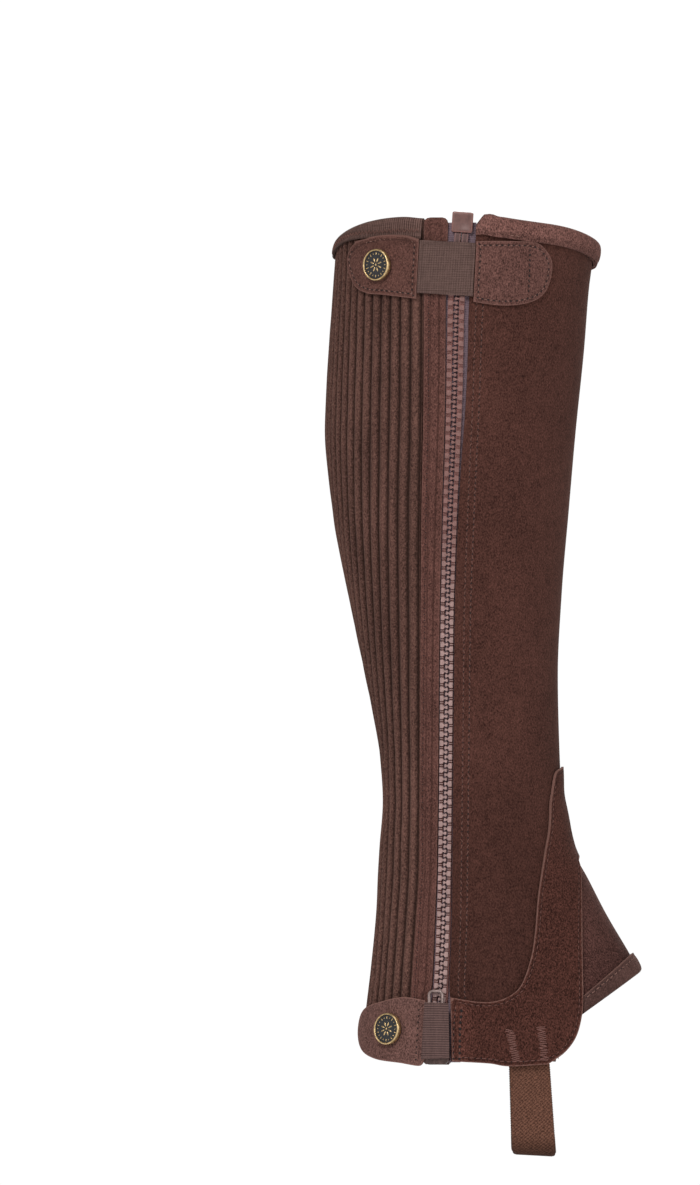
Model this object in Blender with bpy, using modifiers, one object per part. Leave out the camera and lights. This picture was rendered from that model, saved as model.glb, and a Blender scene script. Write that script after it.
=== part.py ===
"""Half chap for the right lower leg, filled out and hollow: suede body, ribbed stretch back, side zip.

Tables and named sizes are in millimetres and degrees; meshes are in metres. +Z is up the leg, +X is the
front (toe) side and -Y is the outer side, where the zip runs. The origin lies on the leg's axis, level
with the middle of the top strap. Every cloth piece is a flat pattern piece, drawn as its angle round the
leg against its height, cut along one common set of lines and wrapped round the leg's form.
"""

import math
from collections import namedtuple
from functools import lru_cache

import bmesh
import bpy
from mathutils import Matrix, Vector

MM = 0.001

# Walls
SUEDE = 1.6
TRIM = 1.2
RIB_TRIM = 1.0
STRETCH = 1.2
ELASTIC = 1.2
TAB = 1.5
TAPE = 1.0
SEAM = 0.3
LAY_GAP = 0.5
FOLD_GAP = 0.4
SEAM_SHARE = 0.3

# The common lines along which every pattern piece can bend
BEND_ANGLE = 7.5
BEND_HEIGHT = 20.0

# The leg's form: back, widest and front stations along X, and half its depth along Y, at each height
Section = namedtuple("Section", "z back widest front half_depth")
LEG = [
    Section(40, -59.0, 3.0, 66.0, 59.8),
    Section(12, -61.5, 1.0, 65.0, 59.0),
    Section(-12, -63.2, -1.0, 62.2, 58.4),
    Section(-40, -65.2, -3.0, 60.0, 57.9),
    Section(-80, -67.0, -6.0, 55.9, 57.0),
    Section(-120, -63.2, -5.0, 52.4, 53.6),
    Section(-160, -55.8, -2.0, 49.0, 48.6),
    Section(-200, -47.3, 1.0, 47.1, 43.2),
    Section(-240, -40.0, 4.0, 48.0, 38.8),
    Section(-262, -38.6, 5.5, 49.6, 37.6),
    Section(-284, -40.3, 7.0, 54.0, 37.8),
    Section(-300, -41.2, 8.0, 62.2, 38.4),
    Section(-316, -42.0, 9.0, 70.4, 39.4),
    Section(-345, -44.6, 10.5, 86.9, 41.4),
    Section(-372, -48.0, 12.0, 98.0, 43.0),
    Section(-400, -51.0, 13.0, 108.0, 44.4),
]

# The top edge: its height at back and front, its rise on the outer side, which is steepest at the back,
# its fall on the inner side, and the small peak in front of the zip
RIM_HEIGHT = 11.0
RIM_OUTER_RISE = 13.6
RIM_REAR_SPEED = 1.4
RIM_INNER_FALL = 7.0
RIM_PEAK = 1.5
RIM_PEAK_ANGLE = 99.0
RIM_PEAK_REACH = 7.0
RIM_DEPTH = 10.0
RIM_OVER = 1.6
RIM_BULGE = 0.5
RIM_FLARE = 1.6

# The lower edge, by the angle round the leg (0 back, 90 outer side, 180 front, 270 inner side)
Hem = namedtuple("Hem", "angle z")
HEM = [
    Hem(-120, -391.0),
    Hem(-95, -388.0),
    Hem(-70, -383.0),
    Hem(-40, -377.5),
    Hem(-20, -375.0),
    Hem(0, -375.5),
    Hem(25, -381.5),
    Hem(45, -387.0),
    Hem(60, -389.0),
    Hem(90, -390.0),
    Hem(125, -391.0),
]
HEM_DEPTH = 8.5
HEM_OVER = 1.8
HEM_BULGE = 0.5
SIDE_FOOT = 1.2
OUTER_FOOT = -389.0

# The zip's line on the outer side: its centre and half the gap between the edges of the suede
Zip = namedtuple("Zip", "z x half_gap")
ZIP = [
    Zip(30, 0.6, 7.2),
    Zip(20, 0.0, 7.0),
    Zip(0, -1.7, 6.0),
    Zip(-17, -2.9, 5.2),
    Zip(-65, -3.9, 4.5),
    Zip(-120, -5.9, 4.0),
    Zip(-174, -7.4, 3.7),
    Zip(-238, -8.0, 3.7),
    Zip(-292, -8.6, 3.8),
    Zip(-323, -9.4, 4.2),
    Zip(-351, -10.6, 4.3),
    Zip(-364, -11.7, 6.4),
    Zip(-372, -12.4, 7.2),
    Zip(-400, -12.9, 7.3),
]

# The seam of the ribbed panel and the zip strip, on the outer side
Seam = namedtuple("Seam", "z x")
RIB_SEAM = [
    Seam(40, -18.9),
    Seam(-15, -19.1),
    Seam(-65, -19.3),
    Seam(-120, -20.3),
    Seam(-174, -20.7),
    Seam(-238, -20.9),
    Seam(-292, -21.2),
    Seam(-323, -23.0),
    Seam(-356, -25.3),
    Seam(-400, -28.0),
]

# The inner strip's two edges, as angles from the back round the inner side
Strip = namedtuple("Strip", "z front_edge rear_edge")
INNER_STRIP = [
    Strip(40, 43.5, 26.5),
    Strip(-20, 42.5, 24.0),
    Strip(-68, 41.0, 21.7),
    Strip(-120, 42.0, 23.0),
    Strip(-160, 43.5, 24.5),
    Strip(-203, 49.0, 26.5),
    Strip(-248, 52.0, 26.0),
    Strip(-276, 55.0, 27.5),
    Strip(-309, 55.0, 29.5),
    Strip(-330, 53.0, 26.0),
    Strip(-350, 50.0, 20.5),
    Strip(-400, 47.0, 17.0),
]
STRIP_SEAM_SHARE = 0.35

# Ribs
RIB_PITCH = 5.6
RIB_VALLEY = -0.9
RIB_TOP = 0.1
RIB_FLAT = -0.5
RIB_INSIDE = -2.0
RIB_SHOULDER = 0.3
FIRST_RIB_START = 1.2

Point = namedtuple("Point", "x z")

# The overlay's tip, and outlines seen from the outer side
OVERLAY_TOP = -245.0
OVERLAY_REAR = [
    Point(48.0, -245.5),
    Point(44.8, -248.4),
    Point(43.1, -259.2),
    Point(41.5, -276.0),
    Point(37.3, -306.0),
    Point(35.8, -324.0),
    Point(33.8, -337.6),
    Point(29.4, -350.8),
    Point(24.0, -356.7),
    Point(16.2, -359.8),
    Point(7.4, -360.0),
    Point(-5.4, -357.9),
]
OVERLAY_FOOT = [
    Point(-4.6, -389.2),
    Point(13.0, -390.2),
    Point(23.0, -391.6),
    Point(42.0, -390.6),
]
OVERLAY_FRONT = [
    Point(42.0, -390.6),
    Point(50.2, -384.7),
    Point(55.7, -376.8),
    Point(58.4, -366.0),
    Point(58.8, -356.0),
    Point(58.4, -339.6),
    Point(57.8, -312.6),
    Point(57.2, -297.0),
    Point(56.0, -291.5),
]
PANEL_NOTCH_OUTER = [
    Point(39.0, -389.4),
    Point(46.0, -383.0),
    Point(52.0, -375.5),
    Point(55.0, -366.0),
    Point(55.4, -356.0),
    Point(55.0, -339.6),
    Point(54.2, -312.6),
    Point(52.6, -296.0),
]
TOP_TAB_FIXED = [
    Point(6.8, 12.5),
    Point(20.1, 12.6),
    Point(34.4, 12.0),
    Point(39.9, 8.3),
    Point(42.9, 1.5),
    Point(41.2, -8.8),
    Point(36.6, -15.2),
    Point(28.3, -18.3),
    Point(17.6, -18.9),
    Point(5.4, -17.2),
]
TOP_TAB_END = [
    Point(-22.0, -15.7),
    Point(-37.2, -13.8),
    Point(-45.4, -12.9),
    Point(-51.2, -8.8),
    Point(-54.5, 2.6),
    Point(-50.4, 11.4),
    Point(-38.0, 15.2),
    Point(-27.0, 15.4),
    Point(-20.4, 13.5),
]
TOP_ELASTIC = [Point(6.4, 11.6), Point(5.0, -14.5), Point(-21.6, -12.8), Point(-20.0, 13.1)]
BOTTOM_TAB_END = [
    Point(-18.9, -391.3),
    Point(-28.6, -390.2),
    Point(-40.0, -388.4),
    Point(-46.4, -383.9),
    Point(-47.9, -374.4),
    Point(-45.2, -364.4),
    Point(-36.9, -360.2),
    Point(-27.0, -358.0),
    Point(-16.9, -359.5),
]
BOTTOM_ELASTIC = [Point(-6.3, -360.9), Point(-6.0, -387.9), Point(-17.7, -388.4), Point(-15.9, -360.6)]

# Outlines seen from the inner side
INNER_OVERLAY_REAR = [
    Point(43.2, -380.0),
    Point(42.0, -366.0),
    Point(40.7, -347.5),
    Point(40.6, -325.5),
    Point(41.7, -297.8),
    Point(44.8, -272.0),
    Point(46.9, -256.0),
    Point(48.0, -249.0),
]
INNER_OVERLAY_FRONT = [
    Point(55.8, -291.5),
    Point(57.0, -299.0),
    Point(57.6, -320.0),
    Point(58.2, -342.0),
    Point(58.2, -361.0),
    Point(57.0, -370.0),
    Point(53.2, -379.4),
    Point(47.6, -386.4),
]
PANEL_NOTCH_INNER = [
    Point(52.6, -296.5),
    Point(54.0, -320.0),
    Point(54.8, -342.0),
    Point(54.8, -361.0),
    Point(53.4, -369.5),
    Point(49.4, -378.0),
    Point(43.6, -385.6),
]
BINDING_FRONT = Point(45.8, -387.0)
GRIP_PATCH = [
    Point(3.7, -33.1),
    Point(27.8, -38.7),
    Point(41.0, -49.5),
    Point(48.0, -64.0),
    Point(49.0, -80.0),
    Point(46.3, -118.3),
    Point(39.7, -162.4),
    Point(33.1, -185.5),
    Point(26.8, -211.8),
    Point(25.4, -240.0),
    Point(25.4, -272.0),
    Point(22.0, -285.9),
    Point(14.4, -292.4),
    Point(4.5, -285.0),
    Point(-3.0, -267.0),
    Point(-12.0, -231.6),
    Point(-24.2, -176.6),
    Point(-34.6, -124.0),
    Point(-38.1, -102.6),
    Point(-40.0, -75.0),
    Point(-36.2, -55.2),
    Point(-28.4, -45.3),
    Point(-14.7, -36.0),
]

# The gusset: its lower edge lies in a slanting plane through this corner, seen from the side
NOTCH_TOP = -285.5
GUSSET_CORNER = Point(87.2, -346.0)
GUSSET_SLOPE = 0.73
GUSSET_OUTER_END = 55.9
GUSSET_INNER_END = 55.6
GUSSET_LIFT = -0.2
GUSSET_GAP_TURN = 0.65
GUSSET_BINDING_DEPTH = 7.2
GUSSET_BINDING_INSET_OUTER = 3.8
GUSSET_BINDING_INSET_INNER = 4.3

# Foot strap
STRAP_REAR = 22.8
STRAP_WIDTH = 18.7
STRAP_LEAN = 1.8
STRAP_WIDENING = 2.7
STRAP_TOP = -372.0
STRAP_BOTTOM = -436.0
STRAP_CORNER = 10.0
STRAP_INSET_OUTER = 2.2
STRAP_INSET_INNER = 4.1

# Straps: how far the tabs and elastics lie off the cloth, how the top ones ride over the rim, and how
# the lower elastic arches over the slider
TAB_LIFT = 0.8
TOP_STEP = 0.3
HEM_STEP = 1.0
RIM_RAMP = 2.5
RIM_RIDE = 1.7
ARCH_RISE = 4.6
ARCH_HALF_WIDTH = 8.2

# Hardware
CHAIN_TOP = -2.0
CHAIN_END = -371.6
CHAIN_PROUD = 0.5
CHAIN_BACK = -1.6
CHAIN_HALF_WIDTH = 4.1
CHAIN_BEVEL = 0.65
TAPE_LIFT = -2.0
TAPE_WIDTH = 11.5
TAPE_TOP = 21.5
TAPE_STEP = 12.0
MOUTH_PARTING = 1.6
BOX_WIDTH = 10.3
BOX_HEIGHT = 10.0
BOX_THICK = 4.4
BOX_MIDDLE = 21.7
BOX_LIFT = -0.8
PIN_WIDTH = 3.2
PIN_THICK = 2.4
PIN_BOTTOM = -1.6
SNAP_RADIUS = 7.9
SNAP_HEIGHT = 3.0
TOP_SNAP = Point(-39.0, 0.8)
BOTTOM_SNAP = Point(-33.2, -373.7)
SLIDER_TOP = -373.0
SLIDER_LENGTH = 17.6
SLIDER_MOUTH = 13.2
SLIDER_NECK = 9.6
SLIDER_PLATE = 1.3
SLIDER_FRONT = 1.3
SLIDER_BACK = -4.8
PULL_WIDTH = 6.7
PULL_LENGTH = 26.8
PULL_WIRE = 0.75
PULL_LIFT = 2.35
PULL_AXIS = -381.6
BRIDGE_WIDTH = 2.4
BRIDGE_RISE = 1.4
BRIDGE_SPAN = 7.0
BRIDGE_THICK = 1.0

COLOURS = {
    "suede": ((0.066, 0.028, 0.022), 0.95, 0.0),
    "suede_light": ((0.11, 0.045, 0.037), 0.95, 0.0),
    "suede_dark": ((0.036, 0.011, 0.008), 0.95, 0.0),
    "stretch": ((0.077, 0.037, 0.031), 0.9, 0.0),
    "elastic": ((0.12, 0.075, 0.063), 0.85, 0.0),
    "strap": ((0.124, 0.057, 0.039), 0.8, 0.0),
    "zip_tape": ((0.12, 0.09, 0.1), 0.9, 0.0),
    "zip_plastic": ((0.22, 0.13, 0.12), 0.45, 0.0),
    "slider_metal": ((0.16, 0.1, 0.085), 0.4, 0.7),
    "antique_brass": ((0.2, 0.14, 0.07), 0.4, 0.9),
}


def smooth_value(rows, key, column, at):
    """A column of a table, read at any key through a smooth curve that doesn't overshoot."""
    rows = sorted(rows, key=lambda row: getattr(row, key))
    keys = [getattr(row, key) for row in rows]
    values = [getattr(row, column) for row in rows]
    at = min(max(at, keys[0]), keys[-1])
    index = max(i for i in range(len(keys) - 1) if keys[i] <= at)
    slopes = [(values[i + 1] - values[i]) / (keys[i + 1] - keys[i]) for i in range(len(keys) - 1)]

    def tangent(i):
        if i in (0, len(keys) - 1):
            return slopes[min(i, len(slopes) - 1)]
        before, after = slopes[i - 1], slopes[i]
        return 2 * before * after / (before + after) if before * after > 0 else 0.0

    step = keys[index + 1] - keys[index]
    t = (at - keys[index]) / step
    first = values[index] * (1 + 2 * t) * (1 - t) ** 2 + tangent(index) * step * t * (1 - t) ** 2
    last = values[index + 1] * t * t * (3 - 2 * t) - tangent(index + 1) * step * t * t * (1 - t)
    return first + last


@lru_cache(maxsize=None)
def section_at(z):
    return Section(z, *(smooth_value(LEG, "z", name, z) for name in Section._fields[1:]))


def form_point(angle, z):
    """A point of the leg's form in millimetres, by its angle round the leg and its height."""
    section = section_at(round(z, 3))
    cosine = math.cos(math.radians(angle))
    reach = section.widest - section.back if cosine > 0 else section.front - section.widest
    return Vector((section.widest - reach * cosine, -section.half_depth * math.sin(math.radians(angle)), z))


def form_normal(angle, z):
    round_step = form_point(angle + 0.5, z) - form_point(angle - 0.5, z)
    up_step = form_point(angle, z + 1.0) - form_point(angle, z - 1.0)
    return round_step.cross(up_step).normalized()


def lifted(angle, z, lift):
    return form_point(angle, z) + form_normal(angle, z) * lift


def angle_at(x, z, inner=False):
    """The angle of the point that is seen at x from the outer or the inner side."""
    section = section_at(round(z, 3))
    reach = section.widest - section.back if x < section.widest else section.front - section.widest
    angle = math.degrees(math.acos(min(max((section.widest - x) / reach, -1.0), 1.0)))
    return 360.0 - angle if inner else angle


def rim_z(angle):
    peak = RIM_PEAK * math.exp(-(((angle - RIM_PEAK_ANGLE) / RIM_PEAK_REACH) ** 2))
    if 0 < angle < 90:
        angle = min(angle * RIM_REAR_SPEED, 90.0)
    sine = math.sin(math.radians(angle))
    return RIM_HEIGHT + (RIM_OUTER_RISE if sine > 0 else RIM_INNER_FALL) * sine + peak


def hem_z(angle):
    return smooth_value(HEM, "angle", "z", angle - 360.0 if angle > 180 else angle)


def zip_edge(z, side):
    """The angle of the suede's edge beside the zip: side -1 is the rear edge, +1 the front one."""
    return angle_at(smooth_value(ZIP, "z", "x", z) + side * smooth_value(ZIP, "z", "half_gap", z), z)


def rib_seam(z):
    return angle_at(smooth_value(RIB_SEAM, "z", "x", z), z)


def strip_edge(z, column):
    return -smooth_value(INNER_STRIP, "z", column, z)


def inner_seam(z):
    """The angle of the seam under the inner strip, where the ribbed panel meets the leg panel."""
    rear, front = strip_edge(z, "rear_edge"), strip_edge(z, "front_edge")
    return rear + (front - rear) * STRIP_SEAM_SHARE


def seam_turn(z):
    """The angle that half the gap at a seam spans at this height."""
    return math.degrees(SEAM_SHARE / section_at(round(z, 3)).half_depth)


def spline(points, steps=3):
    """The points of a smooth open line through these ones."""
    line = [Vector((p[0], p[1])) for p in points]
    ends = [2 * line[0] - line[1]] + line + [2 * line[-1] - line[-2]]
    found = []
    for before, start, end, after in zip(ends, ends[1:], ends[2:], ends[3:]):
        for step in range(steps):
            t = step / steps
            bend = (2 * before - 5 * start + 4 * end - after) * t * t
            twist = (3 * start - before - 3 * end + after) * t * t * t
            found.append(0.5 * (2 * start + (end - before) * t + bend + twist))
    return [tuple(p) for p in found] + [tuple(line[-1])]


def on_side(points, inner=False):
    """Side-view points as pattern points."""
    return [(angle_at(x, z, inner), z) for x, z in points]


def heights(low, high):
    """Heights from one end to the other, both ends included and the bend lines between them."""
    first = math.floor(low / BEND_HEIGHT) + 1
    last = math.ceil(high / BEND_HEIGHT) - 1
    return [low] + [i * BEND_HEIGHT for i in range(first, last + 1)] + [high]


def meeting(edge_angle, edge_z):
    """The height at which a line that runs up or down the leg meets its top or lower edge."""
    z = edge_z(edge_angle(0.0))
    for _ in range(8):
        z = edge_z(edge_angle(z))
    return z


def cut_pattern(outline, across, along):
    """A flat piece with this outline, cut along the lines where it may bend."""
    flat = bmesh.new()
    flat.faces.new([flat.verts.new((u, v, 0.0)) for u, v in outline])
    for places, direction in ((across, Vector((1, 0, 0))), (along, Vector((0, 1, 0)))):
        for place in places:
            geometry = flat.verts[:] + flat.edges[:] + flat.faces[:]
            bmesh.ops.bisect_plane(
                flat, geom=geometry, dist=0.02, plane_co=direction * place, plane_no=direction
            )
    bmesh.ops.triangulate(flat, faces=flat.faces[:])
    return flat


def bend_lines(values, step):
    low, high = min(values), max(values)
    return [i * step for i in range(math.ceil(low / step), math.floor(high / step) + 1)]


def material(name):
    if name in bpy.data.materials:
        return bpy.data.materials[name]
    colour, roughness, metallic = COLOURS[name]
    made = bpy.data.materials.new(name)
    made.use_nodes = True
    shader = made.node_tree.nodes["Principled BSDF"]
    shader.inputs["Base Color"].default_value = (*colour, 1.0)
    shader.inputs["Roughness"].default_value = roughness
    shader.inputs["Metallic"].default_value = metallic
    return made


def add_object(name, mesh, finish):
    piece = bpy.data.objects.new(name, mesh)
    mesh.materials.append(material(finish))
    bpy.data.collections["half_chap"].objects.link(piece)
    return piece


def mesh_of(name, points, faces):
    mesh = bpy.data.meshes.new(name)
    mesh.from_pydata([Vector(p) * MM for p in points], [], faces)
    mesh.validate()
    return mesh


def cloth(name, outline, lift, thickness, finish, raise_by=None, finer=1):
    """A wall of cloth: the outline's surface at this lift, thickened outward, or inward if negative."""
    flat = cut_pattern(
        outline,
        bend_lines([u for u, _ in outline], BEND_ANGLE / finer),
        bend_lines([v for _, v in outline], BEND_HEIGHT / finer),
    )
    for vert in flat.verts:
        angle, z = vert.co.x, vert.co.y
        extra = raise_by(angle, z) if raise_by else 0.0
        vert.co = lifted(angle, z, lift + extra) * MM
    flat.faces.ensure_lookup_table()
    flat.normal_update()
    largest = max(flat.faces, key=lambda face: face.calc_area())
    middle = largest.calc_center_median()
    axis = Vector((section_at(round(middle.z / MM, 3)).widest * MM, 0.0, middle.z))
    if largest.normal.dot(middle - axis) < 0:
        bmesh.ops.reverse_faces(flat, faces=flat.faces[:])
    mesh = bpy.data.meshes.new(name)
    flat.to_mesh(mesh)
    flat.free()
    piece = add_object(name, mesh, finish)
    wall = piece.modifiers.new("wall", "SOLIDIFY")
    wall.thickness = abs(thickness) * MM
    wall.offset = 1.0 if thickness > 0 else -1.0
    return piece


def loft(name, rings, finish):
    """A closed solid through rings of points, all with as many points."""
    count = len(rings[0])
    points = [point for ring in rings for point in ring]
    faces = [list(range(count))[::-1], [len(points) - count + i for i in range(count)]]
    for start in range(0, len(points) - count, count):
        for i in range(count):
            j = (i + 1) % count
            faces.append([start + i, start + j, start + count + j, start + count + i])
    mesh = mesh_of(name, points, faces)
    solid = bmesh.new()
    solid.from_mesh(mesh)
    bmesh.ops.recalc_face_normals(solid, faces=solid.faces[:])
    solid.to_mesh(mesh)
    solid.free()
    return add_object(name, mesh, finish)


def binding_ring(angle, edge, outside, inside, leaf, depth, over, bulge, up, lean=0.0):
    """The section of a folded tape round a cloth's edge.

    up is +1 for a top edge and -1 for a lower one, and lean turns the section as it leaves the edge.
    """
    middle = (outside + inside) / 2
    profile = [
        (outside, depth),
        (outside + leaf + bulge * 0.4, depth),
        (outside + leaf + bulge, depth * 0.5),
        (outside + leaf * 0.7 + bulge * 0.6, -over * 0.3),
        (middle, -over),
        (inside - leaf * 0.7, -over * 0.3),
        (inside - leaf, depth * 0.5),
        (inside - leaf, depth),
        (inside, depth),
        (inside, -FOLD_GAP),
        (outside, -FOLD_GAP),
    ]
    return [lifted(angle + lean * down, edge - up * down, lift) for lift, down in profile]


def stations(start, end):
    """Angles from start to end, both included, with the bend lines between them."""
    low, high = min(start, end), max(start, end)
    between = [i * BEND_ANGLE for i in range(math.floor(low / BEND_ANGLE) + 1, math.ceil(high / BEND_ANGLE))]
    between = [angle for angle in between if low + 0.8 < angle < high - 0.8]
    return [low] + between + [high]


def make_leg_panel():
    edge_top = meeting(lambda z: zip_edge(z, 1), rim_z) - RIM_OVER
    zip_side = [(zip_edge(z, 1), z) for z in heights(OUTER_FOOT, edge_top)]
    seam_top = meeting(inner_seam, rim_z) - RIM_OVER
    seam_foot = meeting(inner_seam, hem_z) + HEM_OVER
    far_side = [(360.0 + inner_seam(z) - seam_turn(z), z) for z in heights(seam_foot, seam_top)][::-1]
    top = [(a, rim_z(a) - RIM_OVER) for a in stations(zip_side[-1][0], far_side[0][0])[1:-1]]
    inner_notch = on_side(spline(PANEL_NOTCH_INNER), inner=True)
    foot_inner = [(a, hem_z(a) + HEM_OVER) for a in stations(inner_notch[-1][0], far_side[-1][0])[1:-1]][::-1]
    outer_notch = on_side(spline(PANEL_NOTCH_OUTER))
    foot_outer = [(a, OUTER_FOOT) for a in stations(zip_side[0][0], outer_notch[0][0])[1:-1]][::-1]
    outline = zip_side + top + far_side + foot_inner + inner_notch[::-1]
    outline += [(180.0, NOTCH_TOP)] + outer_notch[::-1] + foot_outer
    cloth("leg_panel", outline, 0.0, -SUEDE, "suede")


def make_zip_strip():
    top = rim_z(80.0) - LAY_GAP
    rear = [(rib_seam(z) + seam_turn(z), z) for z in heights(OUTER_FOOT, top)]
    front = [(zip_edge(z, -1), z) for z in heights(OUTER_FOOT, top)][::-1]
    cloth("zip_strip", rear + front, 0.0, -SUEDE, "suede")


@lru_cache(maxsize=None)
def round_lengths(z):
    """Distances round the form at this height, from the rib seam toward the back, one for each degree."""
    start = rib_seam(z)
    found = [0.0]
    for step in range(130):
        found.append(found[-1] + (form_point(start - step - 1, z) - form_point(start - step, z)).length)
    return start, found


def angle_after(distance, z):
    start, lengths = round_lengths(round(z, 3))
    step = max(i for i in range(len(lengths) - 1) if lengths[i] <= max(distance, 0.0))
    return start - step - (distance - lengths[step]) / (lengths[step + 1] - lengths[step])


def distance_to(angle, z):
    start, lengths = round_lengths(round(z, 3))
    place = start - angle
    step = int(place)
    return lengths[step] + (place - step) * (lengths[step + 1] - lengths[step])


def make_rib_panel():
    """The ribs run parallel to the zip seam and are cut off by the inner seam."""
    seam_low, seam_high = hem_z(50.0) + HEM_OVER, meeting(rib_seam, rim_z) - RIM_OVER
    far_low, far_high = meeting(inner_seam, hem_z) + HEM_OVER, meeting(inner_seam, rim_z) - RIM_OVER
    seam_side = [(SEAM, z) for z in heights(seam_low, seam_high)]
    far_side = [
        (distance_to(inner_seam(z) + seam_turn(z), z), z) for z in heights(far_low, far_high)
    ][::-1]
    middle_top = [(distance_to(a, far_high), rim_z(a) - RIM_OVER) for a in range(66, -24, -6)]
    middle_foot = [(distance_to(a, far_low), hem_z(a) + HEM_OVER) for a in range(-18, 48, 6)]
    outline = seam_side + middle_top + far_side + middle_foot
    widest = max(u for u, _ in outline)
    rib_lines = []
    rib = 0
    while FIRST_RIB_START + rib * RIB_PITCH < widest:
        start = FIRST_RIB_START + rib * RIB_PITCH
        rib_lines += [start, start + RIB_SHOULDER * RIB_PITCH, start + (1 - RIB_SHOULDER) * RIB_PITCH]
        rib += 1
    flat = cut_pattern(outline, rib_lines, bend_lines([v for _, v in outline], BEND_HEIGHT))
    places = [(vert.co.x, vert.co.y) for vert in flat.verts]
    flat.verts.index_update()
    triangles = [[vert.index for vert in face.verts] for face in flat.faces]
    rim = [[vert.index for vert in edge.verts] for edge in flat.edges if edge.is_boundary]
    flat.free()

    def outer_lift(distance, z):
        angle = angle_after(distance, z)
        if angle < strip_edge(z, "rear_edge") + 1.0 or distance < FIRST_RIB_START:
            return RIB_FLAT
        phase = ((distance - FIRST_RIB_START) / RIB_PITCH) % 1.0
        away = min(phase, 1.0 - phase)
        return RIB_VALLEY + (RIB_TOP - RIB_VALLEY) * min(away / RIB_SHOULDER, 1.0)

    inside = [lifted(angle_after(d, z), z, RIB_INSIDE) for d, z in places]
    outside = [lifted(angle_after(d, z), z, outer_lift(d, z)) for d, z in places]
    count = len(places)
    faces = [[i + count for i in face] for face in triangles] + [face[::-1] for face in triangles]
    faces += [[a, b, b + count, a + count] for a, b in rim]
    mesh = mesh_of("rib_panel", inside + outside, faces)
    solid = bmesh.new()
    solid.from_mesh(mesh)
    bmesh.ops.recalc_face_normals(solid, faces=solid.faces[:])
    solid.to_mesh(mesh)
    solid.free()
    add_object("rib_panel", mesh, "stretch")


def make_inner_strip():
    sides = []
    for column in ("front_edge", "rear_edge"):
        top = meeting(lambda z: strip_edge(z, column), rim_z) - RIM_DEPTH - LAY_GAP
        foot = meeting(lambda z: strip_edge(z, column), hem_z) + HEM_DEPTH + LAY_GAP
        sides.append([(360.0 + strip_edge(z, column), z) for z in heights(foot, top)])
    front, rear = sides
    top = [(a, rim_z(a) - RIM_DEPTH - LAY_GAP) for a in stations(front[-1][0], rear[-1][0])[1:-1]]
    foot = [(a, hem_z(a) + HEM_DEPTH + LAY_GAP) for a in stations(front[0][0], rear[0][0])[1:-1]][::-1]
    cloth("inner_strip", front + top + rear[::-1] + foot, LAY_GAP, TRIM, "suede")


def make_overlays():
    rear = on_side(spline(OVERLAY_REAR))
    foot = on_side(spline(OVERLAY_FOOT))
    front = on_side(spline(OVERLAY_FRONT))
    centre = 180.0 - seam_turn(NOTCH_TOP)
    tip = [(centre, z) for z in (NOTCH_TOP - 2.5, (NOTCH_TOP + OVERLAY_TOP) / 2, OVERLAY_TOP)]
    cloth("ankle_overlay_outer", rear + foot + front[1:] + tip, LAY_GAP, TRIM, "suede")

    inner_rear = on_side(spline(INNER_OVERLAY_REAR), inner=True)
    inner_front = on_side(spline(INNER_OVERLAY_FRONT), inner=True)
    centre = 180.0 + seam_turn(NOTCH_TOP)
    tip = [(centre, z) for z in (OVERLAY_TOP, (NOTCH_TOP + OVERLAY_TOP) / 2, NOTCH_TOP - 3.5)]
    binding_front = binding_end()
    step_angle = binding_front - 2 * seam_turn(OUTER_FOOT)
    clear = HEM_DEPTH + LAY_GAP
    low = [(step_angle, hem_z(step_angle) + SIDE_FOOT), (step_angle, hem_z(step_angle) + clear)]
    rear_foot = inner_rear[0][0]
    low += [(a, hem_z(a) + clear) for a in stations(binding_front, rear_foot)[1:-1]]
    low += [(rear_foot, hem_z(rear_foot) + clear)]
    inner_rear = [(a, z) for a, z in inner_rear if z > hem_z(a) + clear + 2.0]
    cloth("ankle_overlay_inner", tip + inner_front + low + inner_rear, LAY_GAP, TRIM, "suede_dark")


def binding_end():
    """The angle of the hem binding's front end."""
    return angle_at(BINDING_FRONT.x, BINDING_FRONT.z, inner=True)


def make_grip_patch():
    outline = on_side(spline(GRIP_PATCH + GRIP_PATCH[:1], steps=2)[:-1], inner=True)
    cloth("grip_patch", outline, LAY_GAP, TRIM, "suede_light")


def gusset_hem(x):
    return GUSSET_CORNER.z - GUSSET_SLOPE * (GUSSET_CORNER.x - x)


def gusset_hem_z(angle):
    """The height of the gusset's lower edge, where the slanting plane cuts the form at this angle."""
    z = GUSSET_CORNER.z
    for _ in range(12):
        z = gusset_hem(form_point(angle, z).x)
    return z


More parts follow.
